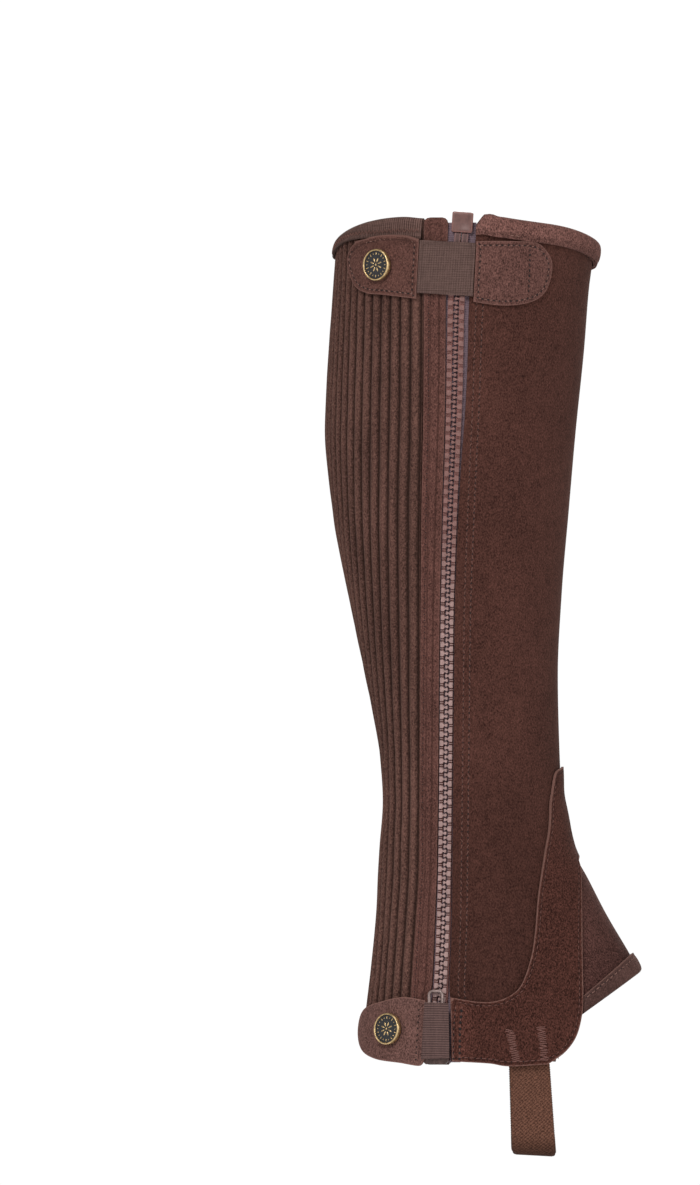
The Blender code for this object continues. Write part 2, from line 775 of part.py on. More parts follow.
def make_gusset():
    turn = GUSSET_GAP_TURN
    ends = (
        angle_at(GUSSET_OUTER_END, gusset_hem(GUSSET_OUTER_END)) + turn,
        angle_at(GUSSET_INNER_END, gusset_hem(GUSSET_INNER_END), inner=True) - turn,
    )
    hem = [(a, gusset_hem_z(a) + HEM_OVER) for a in stations(*ends)]
    outer_notch = on_side(spline(PANEL_NOTCH_OUTER))
    inner_notch = on_side(spline(PANEL_NOTCH_INNER), inner=True)
    outer_edge = [(a + turn, z) for a, z in outer_notch if z > hem[0][1] + 2.0]
    inner_edge = [(a - turn, z) for a, z in inner_notch if z > hem[-1][1] + 2.0]
    outline = outer_edge + [(180.0, NOTCH_TOP - 1.4)] + inner_edge + hem[::-1]
    cloth("instep_gusset", outline, GUSSET_LIFT, -STRETCH, "stretch")

    ends = []
    leans = []
    binding_ends = (
        (GUSSET_OUTER_END + GUSSET_BINDING_INSET_OUTER, False),
        (GUSSET_INNER_END + GUSSET_BINDING_INSET_INNER, True),
    )
    for x, inner in binding_ends:
        z = gusset_hem(x)
        ends.append(angle_at(x, z, inner))
        leans.append((angle_at(x, z + 10.0, inner) - ends[-1]) / 10.0)
    rings = []
    for a in stations(*ends):
        side = 0 if a < 180.0 else 1
        lean = leans[side] * ((a - 180.0) / (ends[side] - 180.0)) ** 2
        rings.append(
            binding_ring(
                a, gusset_hem_z(a) + HEM_OVER, GUSSET_LIFT + FOLD_GAP, GUSSET_LIFT - STRETCH - FOLD_GAP,
                TRIM, GUSSET_BINDING_DEPTH, HEM_OVER, HEM_BULGE, -1, lean,
            )
        )
    loft("gusset_binding", rings, "stretch")


def make_bindings():
    front_start = zip_edge(20.0, 1) + 0.6
    rear_end = 360.0 + strip_edge(5.0, "rear_edge")

    def flare(angle):
        """The rim rolls outward most at the front."""
        return RIM_BULGE + RIM_FLARE * max(0.0, -math.cos(math.radians(angle)))

    rings = [
        binding_ring(
            a, rim_z(a) - RIM_OVER, LAY_GAP, RIB_INSIDE - FOLD_GAP, TRIM, RIM_DEPTH - RIM_OVER, RIM_OVER,
            flare(a), 1,
        )
        for a in stations(front_start, rear_end)
    ]
    loft("rim_binding", rings, "suede_light")

    rib_start = strip_edge(5.0, "rear_edge") + 0.5
    rib_finish = rib_seam(15.0) - 3 * seam_turn(15.0)
    rings = [
        binding_ring(
            a, rim_z(a) - RIM_OVER, RIB_TOP + FOLD_GAP, RIB_INSIDE - FOLD_GAP, RIB_TRIM,
            RIM_DEPTH - RIM_OVER, RIM_OVER, 0.2, 1,
        )
        for a in stations(rib_start, rib_finish)
    ]
    loft("rib_rim", rings, "elastic")

    hem_rear = 360.0 + strip_edge(-375.0, "rear_edge")
    rings = [
        binding_ring(
            a, hem_z(a) + HEM_OVER, LAY_GAP, RIB_INSIDE - FOLD_GAP, TRIM, HEM_DEPTH - HEM_OVER,
            HEM_OVER, HEM_BULGE, -1,
        )
        for a in stations(binding_end(), hem_rear)
    ]
    loft("hem_binding", rings, "suede_light")

    rib_start = strip_edge(-375.0, "rear_edge") + 0.6
    rib_finish = rib_seam(-384.0) - 3 * seam_turn(-384.0)
    rings = [
        binding_ring(
            a, hem_z(a) + HEM_OVER, RIB_TOP + FOLD_GAP, RIB_INSIDE - FOLD_GAP, RIB_TRIM,
            HEM_DEPTH - HEM_OVER, HEM_OVER, 0.1, -1,
        )
        for a in stations(rib_start, rib_finish)
    ]
    loft("rib_hem", rings, "elastic")


def make_straps():
    fixed = on_side(spline(TOP_TAB_FIXED))
    cloth("top_tab_fixed", fixed, LAY_GAP, TAB, "suede_light")

    def over_rim(angle, z):
        """The tab's upper edge rides over the rib panel's rim."""
        share = (z - (rim_z(angle) - RIM_DEPTH - RIM_RAMP)) / RIM_RAMP
        return RIM_RIDE * min(max(share, 0.0), 1.0)

    cloth("top_tab_end", on_side(spline(TOP_TAB_END)), TAB_LIFT, TAB, "suede_light", over_rim, finer=3)
    cloth("top_elastic", on_side(TOP_ELASTIC), TAB_LIFT + 0.3, ELASTIC, "elastic", over_rim, finer=3)

    def over_slider(angle, z):
        """The lower elastic arches over the slider and the pull."""
        x = form_point(angle, z).x
        away = abs(x - smooth_value(ZIP, "z", "x", SLIDER_TOP - 8.0)) / ARCH_HALF_WIDTH
        return ARCH_RISE * max(0.0, 1.0 - away ** 2) ** 0.7

    cloth("bottom_tab_end", on_side(spline(BOTTOM_TAB_END)), TAB_LIFT + HEM_STEP, TAB, "suede_light")
    outline = [BOTTOM_ELASTIC[0]]
    for start, end in zip(BOTTOM_ELASTIC, BOTTOM_ELASTIC[1:] + BOTTOM_ELASTIC[:1]):
        parts = 6 if abs(start.x - end.x) > 3 else 2
        outline += [
            Point(start.x + (end.x - start.x) * i / parts, start.z + (end.z - start.z) * i / parts)
            for i in range(1, parts + 1)
        ]
    outline = on_side(outline[:-1])
    cloth("bottom_elastic", outline, TAB_LIFT + 0.4, ELASTIC, "elastic", over_slider, finer=3)


def make_foot_strap():
    """A flat band from inside the outer wall, under the foot and up inside the inner wall."""
    columns = 4

    def column(share):
        """One line along the strap, as (y, z) with the direction that points out of the loop."""
        line = []
        for inner, inset in ((False, STRAP_INSET_OUTER), (True, STRAP_INSET_INNER)):
            x = STRAP_REAR + STRAP_WIDTH * share
            side = []
            for z in (STRAP_TOP, STRAP_TOP - 10.0, STRAP_TOP - 20.0):
                place = lifted(angle_at(x, z, inner), z, -inset)
                side.append((place.y, z))
            line.append(side)
        outer, inner = line
        low = STRAP_BOTTOM + STRAP_CORNER
        arc = []
        for side, turn in ((outer[-1][0], -1), (inner[-1][0], 1)):
            centre = side - turn * STRAP_CORNER
            steps = [math.radians(15.0 * i) for i in range(7)]
            places = [(turn * math.cos(t), -math.sin(t)) for t in steps]
            arc.append([(centre + STRAP_CORNER * y, low + STRAP_CORNER * z) for y, z in places])
        return outer + arc[0] + arc[1][::-1] + inner[::-1]

    lines = [column(i / (columns - 1)) for i in range(columns)]
    count = len(lines[0])
    rings = []
    for row in range(count):
        ring_out, ring_in = [], []
        for i, line in enumerate(lines):
            before, after = line[max(row - 1, 0)], line[min(row + 1, count - 1)]
            along = Vector((after[0] - before[0], after[1] - before[1])).normalized()
            outward = Vector((along.y, -along.x))
            y, z = line[row]
            drop = min(max((STRAP_TOP - z) / (STRAP_TOP - STRAP_BOTTOM), 0.0), 1.0)
            share = i / (columns - 1)
            x = STRAP_REAR + STRAP_LEAN * drop + (STRAP_WIDTH + STRAP_WIDENING * drop) * share
            ring_out.append((x, y, z))
            ring_in.append((x, y - outward.x * ELASTIC, z - outward.y * ELASTIC))
        rings.append(ring_out + ring_in[::-1])
    loft("foot_strap", rings, "strap")


def zip_frame(z, lift):
    """A frame on the zip's line: X across toward the front, Y up along the zip, Z out of the cloth."""
    def place(height):
        return lifted(angle_at(smooth_value(ZIP, "z", "x", height), height), height, lift)

    up = (place(z + 4.0) - place(z - 4.0)).normalized()
    out = form_normal(angle_at(smooth_value(ZIP, "z", "x", z), z), z)
    across = up.cross(out).normalized()
    out = across.cross(up)
    axes = Matrix((across, up, out)).transposed().to_4x4()
    return Matrix.Translation(place(z) * MM) @ axes


def make_zip_cloth():
    """Two tapes, parted in the slider's mouth and beside the box, narrow where they reach over the rim."""
    foot = OUTER_FOOT - 0.5
    mouth = SLIDER_TOP - 8.0
    box_foot = BOX_MIDDLE - BOX_HEIGHT / 2 - 1.0

    def inner_edge(z, side):
        x = smooth_value(ZIP, "z", "x", z) + side * SEAM
        if z > box_foot:
            x += side * (BOX_WIDTH / 2 + 0.2)
        if z < mouth:
            x += side * MOUTH_PARTING
        return angle_at(x, z)

    def outer_edge(z, side):
        reach = TAPE_WIDTH
        if z > TAPE_STEP:
            reach = smooth_value(ZIP, "z", "half_gap", z) - LAY_GAP
        return angle_at(smooth_value(ZIP, "z", "x", z) + side * reach, z)

    levels = [foot, mouth - 0.3, mouth + 0.3] + heights(-360.0, -0.5)
    levels += [TAPE_STEP - 0.4, TAPE_STEP + 0.4, box_foot - 0.1, box_foot + 0.1, TAPE_TOP]
    for name, side in (("zip_tape_rear", -1), ("zip_tape_front", 1)):
        outline = [(inner_edge(z, side), z) for z in levels]
        outline += [(outer_edge(z, side), z) for z in levels[::-1]]
        cloth(name, outline, TAPE_LIFT, -TAPE, "zip_tape")


def make_zip_chain():
    rings = []
    for z in heights(CHAIN_END, CHAIN_TOP):
        centre = smooth_value(ZIP, "z", "x", z)
        half = min(smooth_value(ZIP, "z", "half_gap", z) - LAY_GAP, CHAIN_HALF_WIDTH)
        profile = [
            (-half, CHAIN_BACK),
            (-half, CHAIN_PROUD - CHAIN_BEVEL),
            (-half + CHAIN_BEVEL, CHAIN_PROUD),
            (half - CHAIN_BEVEL, CHAIN_PROUD),
            (half, CHAIN_PROUD - CHAIN_BEVEL),
            (half, CHAIN_BACK),
        ]
        rings.append([lifted(angle_at(centre + x, z), z, lift) for x, lift in profile])
    loft("zip_chain", rings, "zip_plastic")


def rounded_block(name, size, frame, radius, finish):
    bpy.ops.mesh.primitive_cube_add(size=1.0)
    block = bpy.context.object
    block.name = name
    block.data.name = name
    block.data.transform(Matrix.Diagonal((*(side * MM for side in size), 1.0)))
    block.matrix_world = frame
    block.data.materials.append(material(finish))
    bevel = block.modifiers.new("rounding", "BEVEL")
    bevel.width = radius * MM
    bevel.segments = 2
    move_to_part(block)
    return block


def move_to_part(piece):
    for collection in list(piece.users_collection):
        collection.objects.unlink(piece)
    bpy.data.collections["half_chap"].objects.link(piece)


def make_zip_ends():
    """The retainer box at the top, and the two pins that it holds."""
    size = (BOX_WIDTH, BOX_HEIGHT, BOX_THICK)
    rounded_block("zip_box", size, zip_frame(BOX_MIDDLE, BOX_LIFT), 1.2, "zip_plastic")
    box_foot = BOX_MIDDLE - BOX_HEIGHT / 2
    length = box_foot - SEAM - PIN_BOTTOM
    for name, side in (("zip_pin_rear", -1), ("zip_pin_front", 1)):
        frame = zip_frame(PIN_BOTTOM + length / 2, CHAIN_BACK + PIN_THICK / 2)
        frame = frame @ Matrix.Translation((side * (PIN_WIDTH / 2 + 0.25) * MM, 0.0, 0.0))
        rounded_block(name, (PIN_WIDTH, length, PIN_THICK), frame, 0.6, "zip_plastic")


def make_snap(name, place, step):
    """A turned cap with a raised rim and a shallow domed face."""
    angle = angle_at(place.x, place.z)
    lift = TAB_LIFT + TAB + step + LAY_GAP
    out = form_normal(angle, place.z)
    turned = out.to_track_quat("Z", "Y").to_matrix().to_4x4()
    frame = Matrix.Translation(lifted(angle, place.z, lift) * MM) @ turned
    profile = [
        (0.0, SNAP_HEIGHT * 0.86),
        (SNAP_RADIUS * 0.42, SNAP_HEIGHT * 0.8),
        (SNAP_RADIUS * 0.72, SNAP_HEIGHT * 0.68),
        (SNAP_RADIUS * 0.78, SNAP_HEIGHT * 0.95),
        (SNAP_RADIUS * 0.86, SNAP_HEIGHT),
        (SNAP_RADIUS * 0.96, SNAP_HEIGHT * 0.8),
        (SNAP_RADIUS, SNAP_HEIGHT * 0.45),
        (SNAP_RADIUS * 0.97, 0.0),
        (0.0, 0.0),
    ]
    mesh = bpy.data.meshes.new(name)
    points = [(radius * MM, 0.0, height * MM) for radius, height in profile]
    mesh.from_pydata(points, [(i, i + 1) for i in range(len(points) - 1)], [])
    cap = add_object(name, mesh, "antique_brass")
    turn = cap.modifiers.new("turned", "SCREW")
    turn.axis = "Z"
    turn.steps = 28
    turn.render_steps = 28
    turn.use_merge_vertices = True
    turn.merge_threshold = 0.00001
    cap.matrix_world = frame


def plate(outline, low, high):
    """A flat plate from an outline in the frame's X and Y, as a closed mesh."""
    curve = bpy.data.curves.new("plate", "CURVE")
    curve.dimensions = "2D"
    curve.fill_mode = "BOTH"
    curve.extrude = (high - low) / 2 * MM
    line = curve.splines.new("POLY")
    line.points.add(len(outline) - 1)
    for point, (x, y) in zip(line.points, outline):
        point.co = (x * MM, y * MM, 0.0, 1.0)
    line.use_cyclic_u = True
    drawn = bpy.data.objects.new("plate", curve)
    bpy.context.scene.collection.objects.link(drawn)
    bpy.context.view_layer.update()
    solid = drawn.evaluated_get(bpy.context.evaluated_depsgraph_get())
    mesh = bpy.data.meshes.new_from_object(solid)
    bpy.data.objects.remove(drawn)
    mesh.transform(Matrix.Translation((0.0, 0.0, (high + low) / 2 * MM)))
    welded = bmesh.new()
    welded.from_mesh(mesh)
    bmesh.ops.remove_doubles(welded, verts=welded.verts[:], dist=0.000001)
    bmesh.ops.recalc_face_normals(welded, faces=welded.faces[:])
    welded.to_mesh(mesh)
    welded.free()
    return mesh


def slider_outline(inset=0.0):
    """Wide at the mouth, narrow at the other end, corners cut off; Y runs up from the mouth."""
    wide, narrow = SLIDER_MOUTH / 2 - inset, SLIDER_NECK / 2 - inset
    low, high = inset, SLIDER_LENGTH - inset
    cut = 1.6
    return [
        (-wide + cut, low), (wide - cut, low), (wide, low + cut), (wide, low + 6.0),
        (narrow, high - cut), (narrow - cut, high), (-narrow + cut, high), (-narrow, high - cut),
        (-wide, low + 6.0), (-wide, low + cut),
    ]


def make_slider():
    foot = SLIDER_TOP - SLIDER_LENGTH
    frame = zip_frame(foot, 0.0)
    axis_y = PULL_AXIS - foot
    flange = 0.9
    neck = [(-1.3, 0.6), (1.3, 0.6), (0.5, 6.5), (-0.5, 6.5)]
    rise = PULL_LIFT + PULL_WIRE + BRIDGE_RISE
    half = BRIDGE_SPAN / 2
    feet = [(axis_y - half, axis_y - half + 1.5), (axis_y + half - 1.5, axis_y + half)]
    across = BRIDGE_WIDTH / 2

    def bar(low_y, high_y):
        return [(-across, low_y), (across, low_y), (across, high_y), (-across, high_y)]

    parts = [
        plate(slider_outline(), SLIDER_BACK, SLIDER_BACK + SLIDER_PLATE),
        plate(neck, SLIDER_BACK + 0.5, SLIDER_FRONT - 0.5),
        plate(bar(*feet[0]), SLIDER_FRONT - 0.4, rise),
        plate(bar(*feet[1]), SLIDER_FRONT - 0.4, rise),
        plate(bar(axis_y - half, axis_y + half), rise - BRIDGE_THICK, rise + 0.2),
    ]
    for side in (-1, 1):
        wide, narrow = SLIDER_MOUTH / 2, SLIDER_NECK / 2
        lip = [
            (side * wide, 1.6), (side * wide, 6.0), (side * narrow, SLIDER_LENGTH - 1.6),
            (side * (narrow - flange), SLIDER_LENGTH - 1.6), (side * (wide - flange), 6.0),
            (side * (wide - flange), 1.6),
        ]
        parts.append(plate(lip, CHAIN_BACK + 0.1, SLIDER_FRONT - 0.3))
    slider = add_object(
        "zip_slider", plate(slider_outline(), SLIDER_FRONT - SLIDER_PLATE, SLIDER_FRONT), "slider_metal"
    )
    for index, mesh in enumerate(parts):
        cutter = bpy.data.objects.new(f"slider_part_{index}", mesh)
        bpy.data.collections["helpers"].objects.link(cutter)
        cutter.hide_render = True
        cutter.display_type = "WIRE"
        cutter.matrix_world = frame
        join = slider.modifiers.new(f"join_{index}", "BOOLEAN")
        join.operation = "UNION"
        join.solver = "EXACT"
        join.object = cutter
    slider.matrix_world = frame


def make_pull():
    """A loop of wire whose lower bar turns under the slider's bridge; its origin is on that axis."""
    half, radius, bend = PULL_WIDTH / 2, 2.0, 5
    corners = [
        (half, 0.0, -90.0, 1.2), (half, PULL_LENGTH, 0.0, radius),
        (-half, PULL_LENGTH, 90.0, radius), (-half, 0.0, 180.0, 1.2),
    ]
    points = []
    for x, y, start, corner in corners:
        centre_x = x - math.copysign(corner, x)
        centre_y = y + (corner if y == 0.0 else -corner)
        for i in range(bend):
            turn = math.radians(start + 90.0 * i / (bend - 1))
            points.append((centre_x + corner * math.cos(turn), centre_y + corner * math.sin(turn)))
    curve = bpy.data.curves.new("zip_pull", "CURVE")
    curve.dimensions = "3D"
    curve.bevel_depth = PULL_WIRE * MM
    curve.bevel_resolution = 2
    line = curve.splines.new("POLY")
    line.points.add(len(points) - 1)
    for point, (x, y) in zip(line.points, points):
        point.co = (x * MM, y * MM, 0.0, 1.0)
    line.use_cyclic_u = True
    curve.materials.append(material("slider_metal"))
    pull = bpy.data.objects.new("zip_pull", curve)
    bpy.data.collections["half_chap"].objects.link(pull)
    pull.matrix_world = zip_frame(PULL_AXIS, PULL_LIFT)


def main():
    for old in list(bpy.data.objects):
        bpy.data.objects.remove(old)
    for name in ("half_chap", "helpers"):
        bpy.context.scene.collection.children.link(bpy.data.collections.new(name))
    make_leg_panel()
    make_zip_strip()
    make_rib_panel()
    make_inner_strip()
    make_grip_patch()
    make_overlays()
    make_gusset()
    make_bindings()
    make_straps()
    make_foot_strap()
    make_zip_cloth()
    make_zip_chain()
    make_zip_ends()
    make_slider()
    make_pull()
    make_snap("top_snap", TOP_SNAP, TOP_STEP)
    make_snap("bottom_snap", BOTTOM_SNAP, HEM_STEP)


main()
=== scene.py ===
"""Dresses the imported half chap: fine cloth shells, stitching, zip teeth, studs, light and camera.

Tables are in millimetres and degrees, and repeat the part's own form: +Z up the leg, +X to the front,
-Y to the outer side. Angles run 0 back, 90 outer side, 180 front, 270 inner side. A lift is a distance out
from the leg's form. Number columns of an outline are X and Z, taken to the outer or the inner side.
"""

import math
import random
from collections import namedtuple
from functools import lru_cache

import bmesh
import bpy
import numpy as np
from mathutils import Matrix, Vector, noise


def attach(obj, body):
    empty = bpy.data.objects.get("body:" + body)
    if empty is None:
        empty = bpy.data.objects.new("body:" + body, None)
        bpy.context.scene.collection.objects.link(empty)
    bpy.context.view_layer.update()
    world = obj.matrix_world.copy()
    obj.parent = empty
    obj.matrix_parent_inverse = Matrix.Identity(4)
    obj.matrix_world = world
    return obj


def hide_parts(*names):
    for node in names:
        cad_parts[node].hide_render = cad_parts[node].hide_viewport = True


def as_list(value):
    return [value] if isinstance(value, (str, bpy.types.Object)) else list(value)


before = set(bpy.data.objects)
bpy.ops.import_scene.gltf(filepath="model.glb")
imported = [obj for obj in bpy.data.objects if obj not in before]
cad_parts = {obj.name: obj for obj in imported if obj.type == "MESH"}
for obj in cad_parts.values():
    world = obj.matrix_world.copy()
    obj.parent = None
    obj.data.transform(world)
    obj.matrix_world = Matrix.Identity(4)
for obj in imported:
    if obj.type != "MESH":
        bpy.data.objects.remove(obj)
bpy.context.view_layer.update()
MM = 0.001

# Walls and gaps of the cloth
SUEDE, TRIM, RIB_TRIM, STRETCH, ELASTIC, TAB, TAPE = 1.6, 1.2, 1.0, 1.2, 1.2, 1.5, 1.0
SEAM, LAY_GAP, FOLD_GAP, SEAM_SHARE, STRIP_SEAM_SHARE = 0.3, 0.5, 0.4, 0.3, 0.35
RIM_HEIGHT, RIM_OUTER_RISE, RIM_REAR_SPEED, RIM_INNER_FALL = 11.0, 13.6, 1.4, 7.0
RIM_PEAK, RIM_PEAK_ANGLE, RIM_PEAK_REACH = 1.5, 99.0, 7.0
RIM_DEPTH, RIM_OVER, RIM_BULGE, RIM_FLARE = 10.0, 1.6, 0.5, 1.6
HEM_DEPTH, HEM_OVER, HEM_BULGE, SIDE_FOOT, OUTER_FOOT = 8.5, 1.8, 0.5, 1.2, -389.0
RIB_PITCH, RIB_TOP, RIB_FLAT, RIB_INSIDE, FIRST_RIB_START = 5.6, 0.1, -0.5, -2.0, 1.2
RIB_GROOVE, RIB_CREST = -1.6, 0.25
# How much of the ribs' drawn surface counts as cloth laid flat
RIB_SHARE = 0.88
NOTCH_TOP, GUSSET_CORNER, GUSSET_SLOPE = -285.5, (87.2, -346.0), 0.73
GUSSET_OUTER_END, GUSSET_INNER_END, GUSSET_LIFT, GUSSET_GAP_TURN = 55.9, 55.6, -0.2, 0.65
GUSSET_BINDING_DEPTH = 7.2
STRAP_REAR, STRAP_WIDTH, STRAP_LEAN, STRAP_WIDENING = 22.8, 18.7, 1.8, 2.7
STRAP_TOP, STRAP_BOTTOM, STRAP_CORNER = -372.0, -436.0, 10.0
# How deep the strap's ends lie below the form, outer and inner, and how its turns are rounded at the edges
STRAP_INSETS, STRAP_ROUND = (2.2, 4.1), 1.8
# Stitching: foot of the rows beside the zip, the overlay's distance from the zip, a corner of the zip strip
ROWS_FOOT, OVERLAY_SETBACK, STRIP_CORNER = -358.0, 4.3, 3.0
TAB_LIFT, TOP_STEP, HEM_STEP, RIM_RAMP, RIM_RIDE = 0.8, 0.3, 1.0, 2.5, 1.7
ARCH_RISE, ARCH_HALF_WIDTH = 4.6, 8.2
CHAIN_TOP, CHAIN_END, CHAIN_BACK = -2.0, -371.6, -1.6
TAPE_LIFT, TAPE_WIDTH, TAPE_TOP, TAPE_STEP = -2.0, 11.5, 21.5, 16.4
BOX_WIDTH, BOX_HEIGHT, BOX_THICK, BOX_MIDDLE, BOX_LIFT = 10.3, 10.0, 4.4, 21.7, -0.8
PIN_WIDTH, PIN_THICK, PIN_BOTTOM = 3.2, 2.4, -1.6
SNAP_RADIUS, SNAP_HEIGHT, TOP_SNAP, BOTTOM_SNAP = 7.9, 3.0, (-39.0, 0.8), (-33.2, -373.7)
SLIDER_TOP = -373.0
PULL_WIDTH, PULL_LENGTH, PULL_WIRE, PULL_LIFT, PULL_AXIS = 6.7, 26.8, 0.75, 2.35, -381.6
TOOTH_PITCH, TOOTH_REACH, CHAIN_HALF_WIDTH, FIRST_TOOTH, TEETH_WIDEN_ABOVE = 4.4, 3.16, 4.1, 1.8, -190.0
# The rim's front end is cut at a slant; the elastic rim is drawn in at the back and dips at its end
RIM_END_SLANT, RIM_END_DEPTH, RIM_END_REACH = 3.6, 5.5, 9.0
RIB_RIM_PULL, RIB_RIM_PULL_REACH, RIB_RIM_DIP, RIB_RIM_DIP_REACH = 4.2, 40.0, 0.9, 6.0

LEG = [
    (40, -59.0, 3.0, 66.0, 59.8), (12, -61.5, 1.0, 65.0, 59.0), (-12, -63.2, -1.0, 62.2, 58.4),
    (-40, -65.2, -3.0, 60.0, 57.9), (-80, -67.0, -6.0, 55.9, 57.0), (-120, -63.2, -5.0, 52.4, 53.6),
    (-160, -55.8, -2.0, 49.0, 48.6), (-200, -47.3, 1.0, 47.1, 43.2), (-240, -40.0, 4.0, 48.0, 38.8),
    (-262, -38.6, 5.5, 49.6, 37.6), (-284, -40.3, 7.0, 54.0, 37.8), (-300, -41.2, 8.0, 62.2, 38.4),
    (-316, -42.0, 9.0, 70.4, 39.4), (-345, -44.6, 10.5, 86.9, 41.4), (-372, -48.0, 12.0, 98.0, 43.0),
    (-400, -51.0, 13.0, 108.0, 44.4),
]
HEM = [
    (-120, -391.0), (-95, -388.0), (-70, -383.0), (-40, -377.5), (-20, -375.0), (0, -375.5),
    (25, -381.5), (45, -387.0), (60, -389.0), (90, -390.0), (125, -391.0),
]
ZIP = [
    (30, 0.6, 7.2), (20, 0.0, 7.0), (0, -1.7, 6.0), (-17, -2.9, 5.2), (-65, -3.9, 4.5), (-120, -5.9, 4.0),
    (-174, -7.4, 3.7), (-238, -8.0, 3.7), (-292, -8.6, 3.8), (-323, -9.4, 4.2), (-351, -10.6, 4.3),
    (-364, -11.7, 6.4), (-372, -12.4, 7.2), (-400, -12.9, 7.3),
]
RIB_SEAM = [
    (40, -18.9), (-15, -19.1), (-65, -19.3), (-120, -20.3), (-174, -20.7), (-238, -20.9), (-292, -21.2),
    (-323, -23.0), (-356, -25.3), (-400, -28.0),
]
INNER_STRIP = [
    (40, 43.5, 26.5), (-20, 42.5, 24.0), (-68, 41.0, 21.7), (-120, 42.0, 23.0), (-160, 43.5, 24.5),
    (-203, 49.0, 26.5), (-248, 52.0, 26.0), (-276, 55.0, 27.5), (-309, 55.0, 29.5), (-330, 53.0, 26.0),
    (-350, 50.0, 20.5), (-400, 47.0, 17.0),
]
# How far the two stitch rows beside the zip lie from the panel's edge
ZIP_ROWS = [(20, 4.9, 8.3), (-63, 4.6, 7.8), (-178, 4.7, 7.7), (-351, 4.4, 7.4), (-390, 4.4, 7.4)]
# Where the rolled rim runs a little lower than its edge: angle, reach, depth
RIM_DIPS = [(102.5, 3.5, 0.7), (122.0, 12.0, 0.5)]
# How far the panel's edge stands back from the zip near the top
PANEL_EASE = [(25, 0.0), (5, 0.7), (-20, 1.1), (-42, 1.4), (-65, 1.2), (-100, 0.4), (-130, 0.0)]

OVERLAY_REAR = [
    (48.0, -245.5), (44.8, -248.4), (43.1, -259.2), (41.5, -276.0), (37.3, -306.0), (35.8, -324.0),
    (33.8, -337.6), (29.4, -350.8), (24.0, -356.7), (16.2, -359.8), (7.4, -360.0), (-5.4, -357.9),
]
OVERLAY_FOOT = [(-4.6, -389.2), (13.0, -390.2), (23.0, -391.6), (42.0, -390.6)]
OVERLAY_FRONT = [
    (42.0, -390.6), (50.2, -384.7), (55.7, -376.8), (58.4, -366.0), (58.8, -356.0), (58.4, -339.6),
    (57.8, -312.6), (57.2, -297.0), (56.0, -291.5),
]
OVERLAY_TOP = -245.0
PANEL_NOTCH_OUTER = [
    (39.0, -389.4), (46.0, -383.0), (52.0, -375.5), (55.0, -366.0), (55.4, -356.0), (55.0, -339.6),
    (54.2, -312.6), (52.6, -296.0),
]
TOP_TAB_FIXED = [
    (6.8, 12.5), (20.1, 12.6), (34.4, 12.0), (39.9, 8.3), (42.9, 1.5), (41.2, -8.8), (36.6, -15.2),
    (28.3, -18.3), (17.6, -18.9), (5.4, -17.2),
]
TOP_TAB_END = [
    (-22.0, -15.7), (-37.2, -13.8), (-45.4, -12.9), (-51.2, -8.8), (-54.5, 2.6), (-50.4, 11.4),
    (-38.0, 15.2), (-27.0, 15.4), (-20.4, 13.5),
]
TOP_ELASTIC = [(6.4, 11.6), (5.0, -14.5), (-21.6, -12.8), (-20.0, 13.1)]
BOTTOM_TAB_END = [
    (-18.9, -391.3), (-28.6, -390.2), (-40.0, -388.4), (-46.4, -383.9), (-47.9, -374.4),
    (-45.2, -364.4), (-36.9, -360.2), (-27.0, -358.0), (-16.9, -359.5),
]
# The lower tab's corner is rounded here, where the solid's is sharp
LOW_TAB_CORNER = [(-17.7, -388.6), (-18.7, -390.6), (-21.0, -391.5)]
BOTTOM_ELASTIC = [(-6.3, -360.9), (-6.0, -387.9), (-17.7, -388.4), (-15.9, -360.6)]
INNER_OVERLAY_REAR = [
    (43.2, -380.0), (42.0, -366.0), (40.7, -347.5), (40.6, -325.5), (41.7, -297.8), (44.8, -272.0),
    (46.9, -256.0), (48.0, -249.0),
]
INNER_OVERLAY_FRONT = [
    (55.8, -291.5), (57.0, -299.0), (57.6, -320.0), (58.2, -342.0), (58.2, -361.0), (57.0, -370.0),
    (53.2, -379.4), (47.6, -386.4),
]
PANEL_NOTCH_INNER = [
    (52.6, -296.5), (54.0, -320.0), (54.8, -342.0), (54.8, -361.0), (53.4, -369.5), (49.4, -378.0),
    (43.6, -385.6),
]
BINDING_FRONT = (45.8, -387.0)
GRIP_PATCH = [
    (3.7, -33.1), (27.8, -38.7), (41.0, -49.5), (48.0, -64.0), (49.0, -80.0), (46.3, -118.3),
    (39.7, -162.4), (33.1, -185.5), (26.8, -211.8), (25.4, -240.0), (25.4, -272.0), (22.0, -285.9),
    (14.4, -292.4), (4.5, -285.0), (-3.0, -267.0), (-12.0, -231.6), (-24.2, -176.6), (-34.6, -124.0),
    (-38.1, -102.6), (-40.0, -75.0), (-36.2, -55.2), (-28.4, -45.3), (-14.7, -36.0),
]


# ---------------------------------------------------------------- form

def read(rows, at, column=1):
    """A column of a table, read at any first-column value through a smooth curve that doesn't overshoot."""
    rows = sorted(rows)
    keys = [row[0] for row in rows]
    values = [row[column] for row in rows]
    at = min(max(at, keys[0]), keys[-1])
    index = max(i for i in range(len(keys) - 1) if keys[i] <= at)
    slopes = [(values[i + 1] - values[i]) / (keys[i + 1] - keys[i]) for i in range(len(keys) - 1)]

    def tangent(i):
        if i in (0, len(keys) - 1):
            return slopes[min(i, len(slopes) - 1)]
        before, after = slopes[i - 1], slopes[i]
        return 2 * before * after / (before + after) if before * after > 0 else 0.0

    step = keys[index + 1] - keys[index]
    t = (at - keys[index]) / step
    first = values[index] * (1 + 2 * t) * (1 - t) ** 2 + tangent(index) * step * t * (1 - t) ** 2
    last = values[index + 1] * t * t * (3 - 2 * t) - tangent(index + 1) * step * t * t * (1 - t)
    return first + last


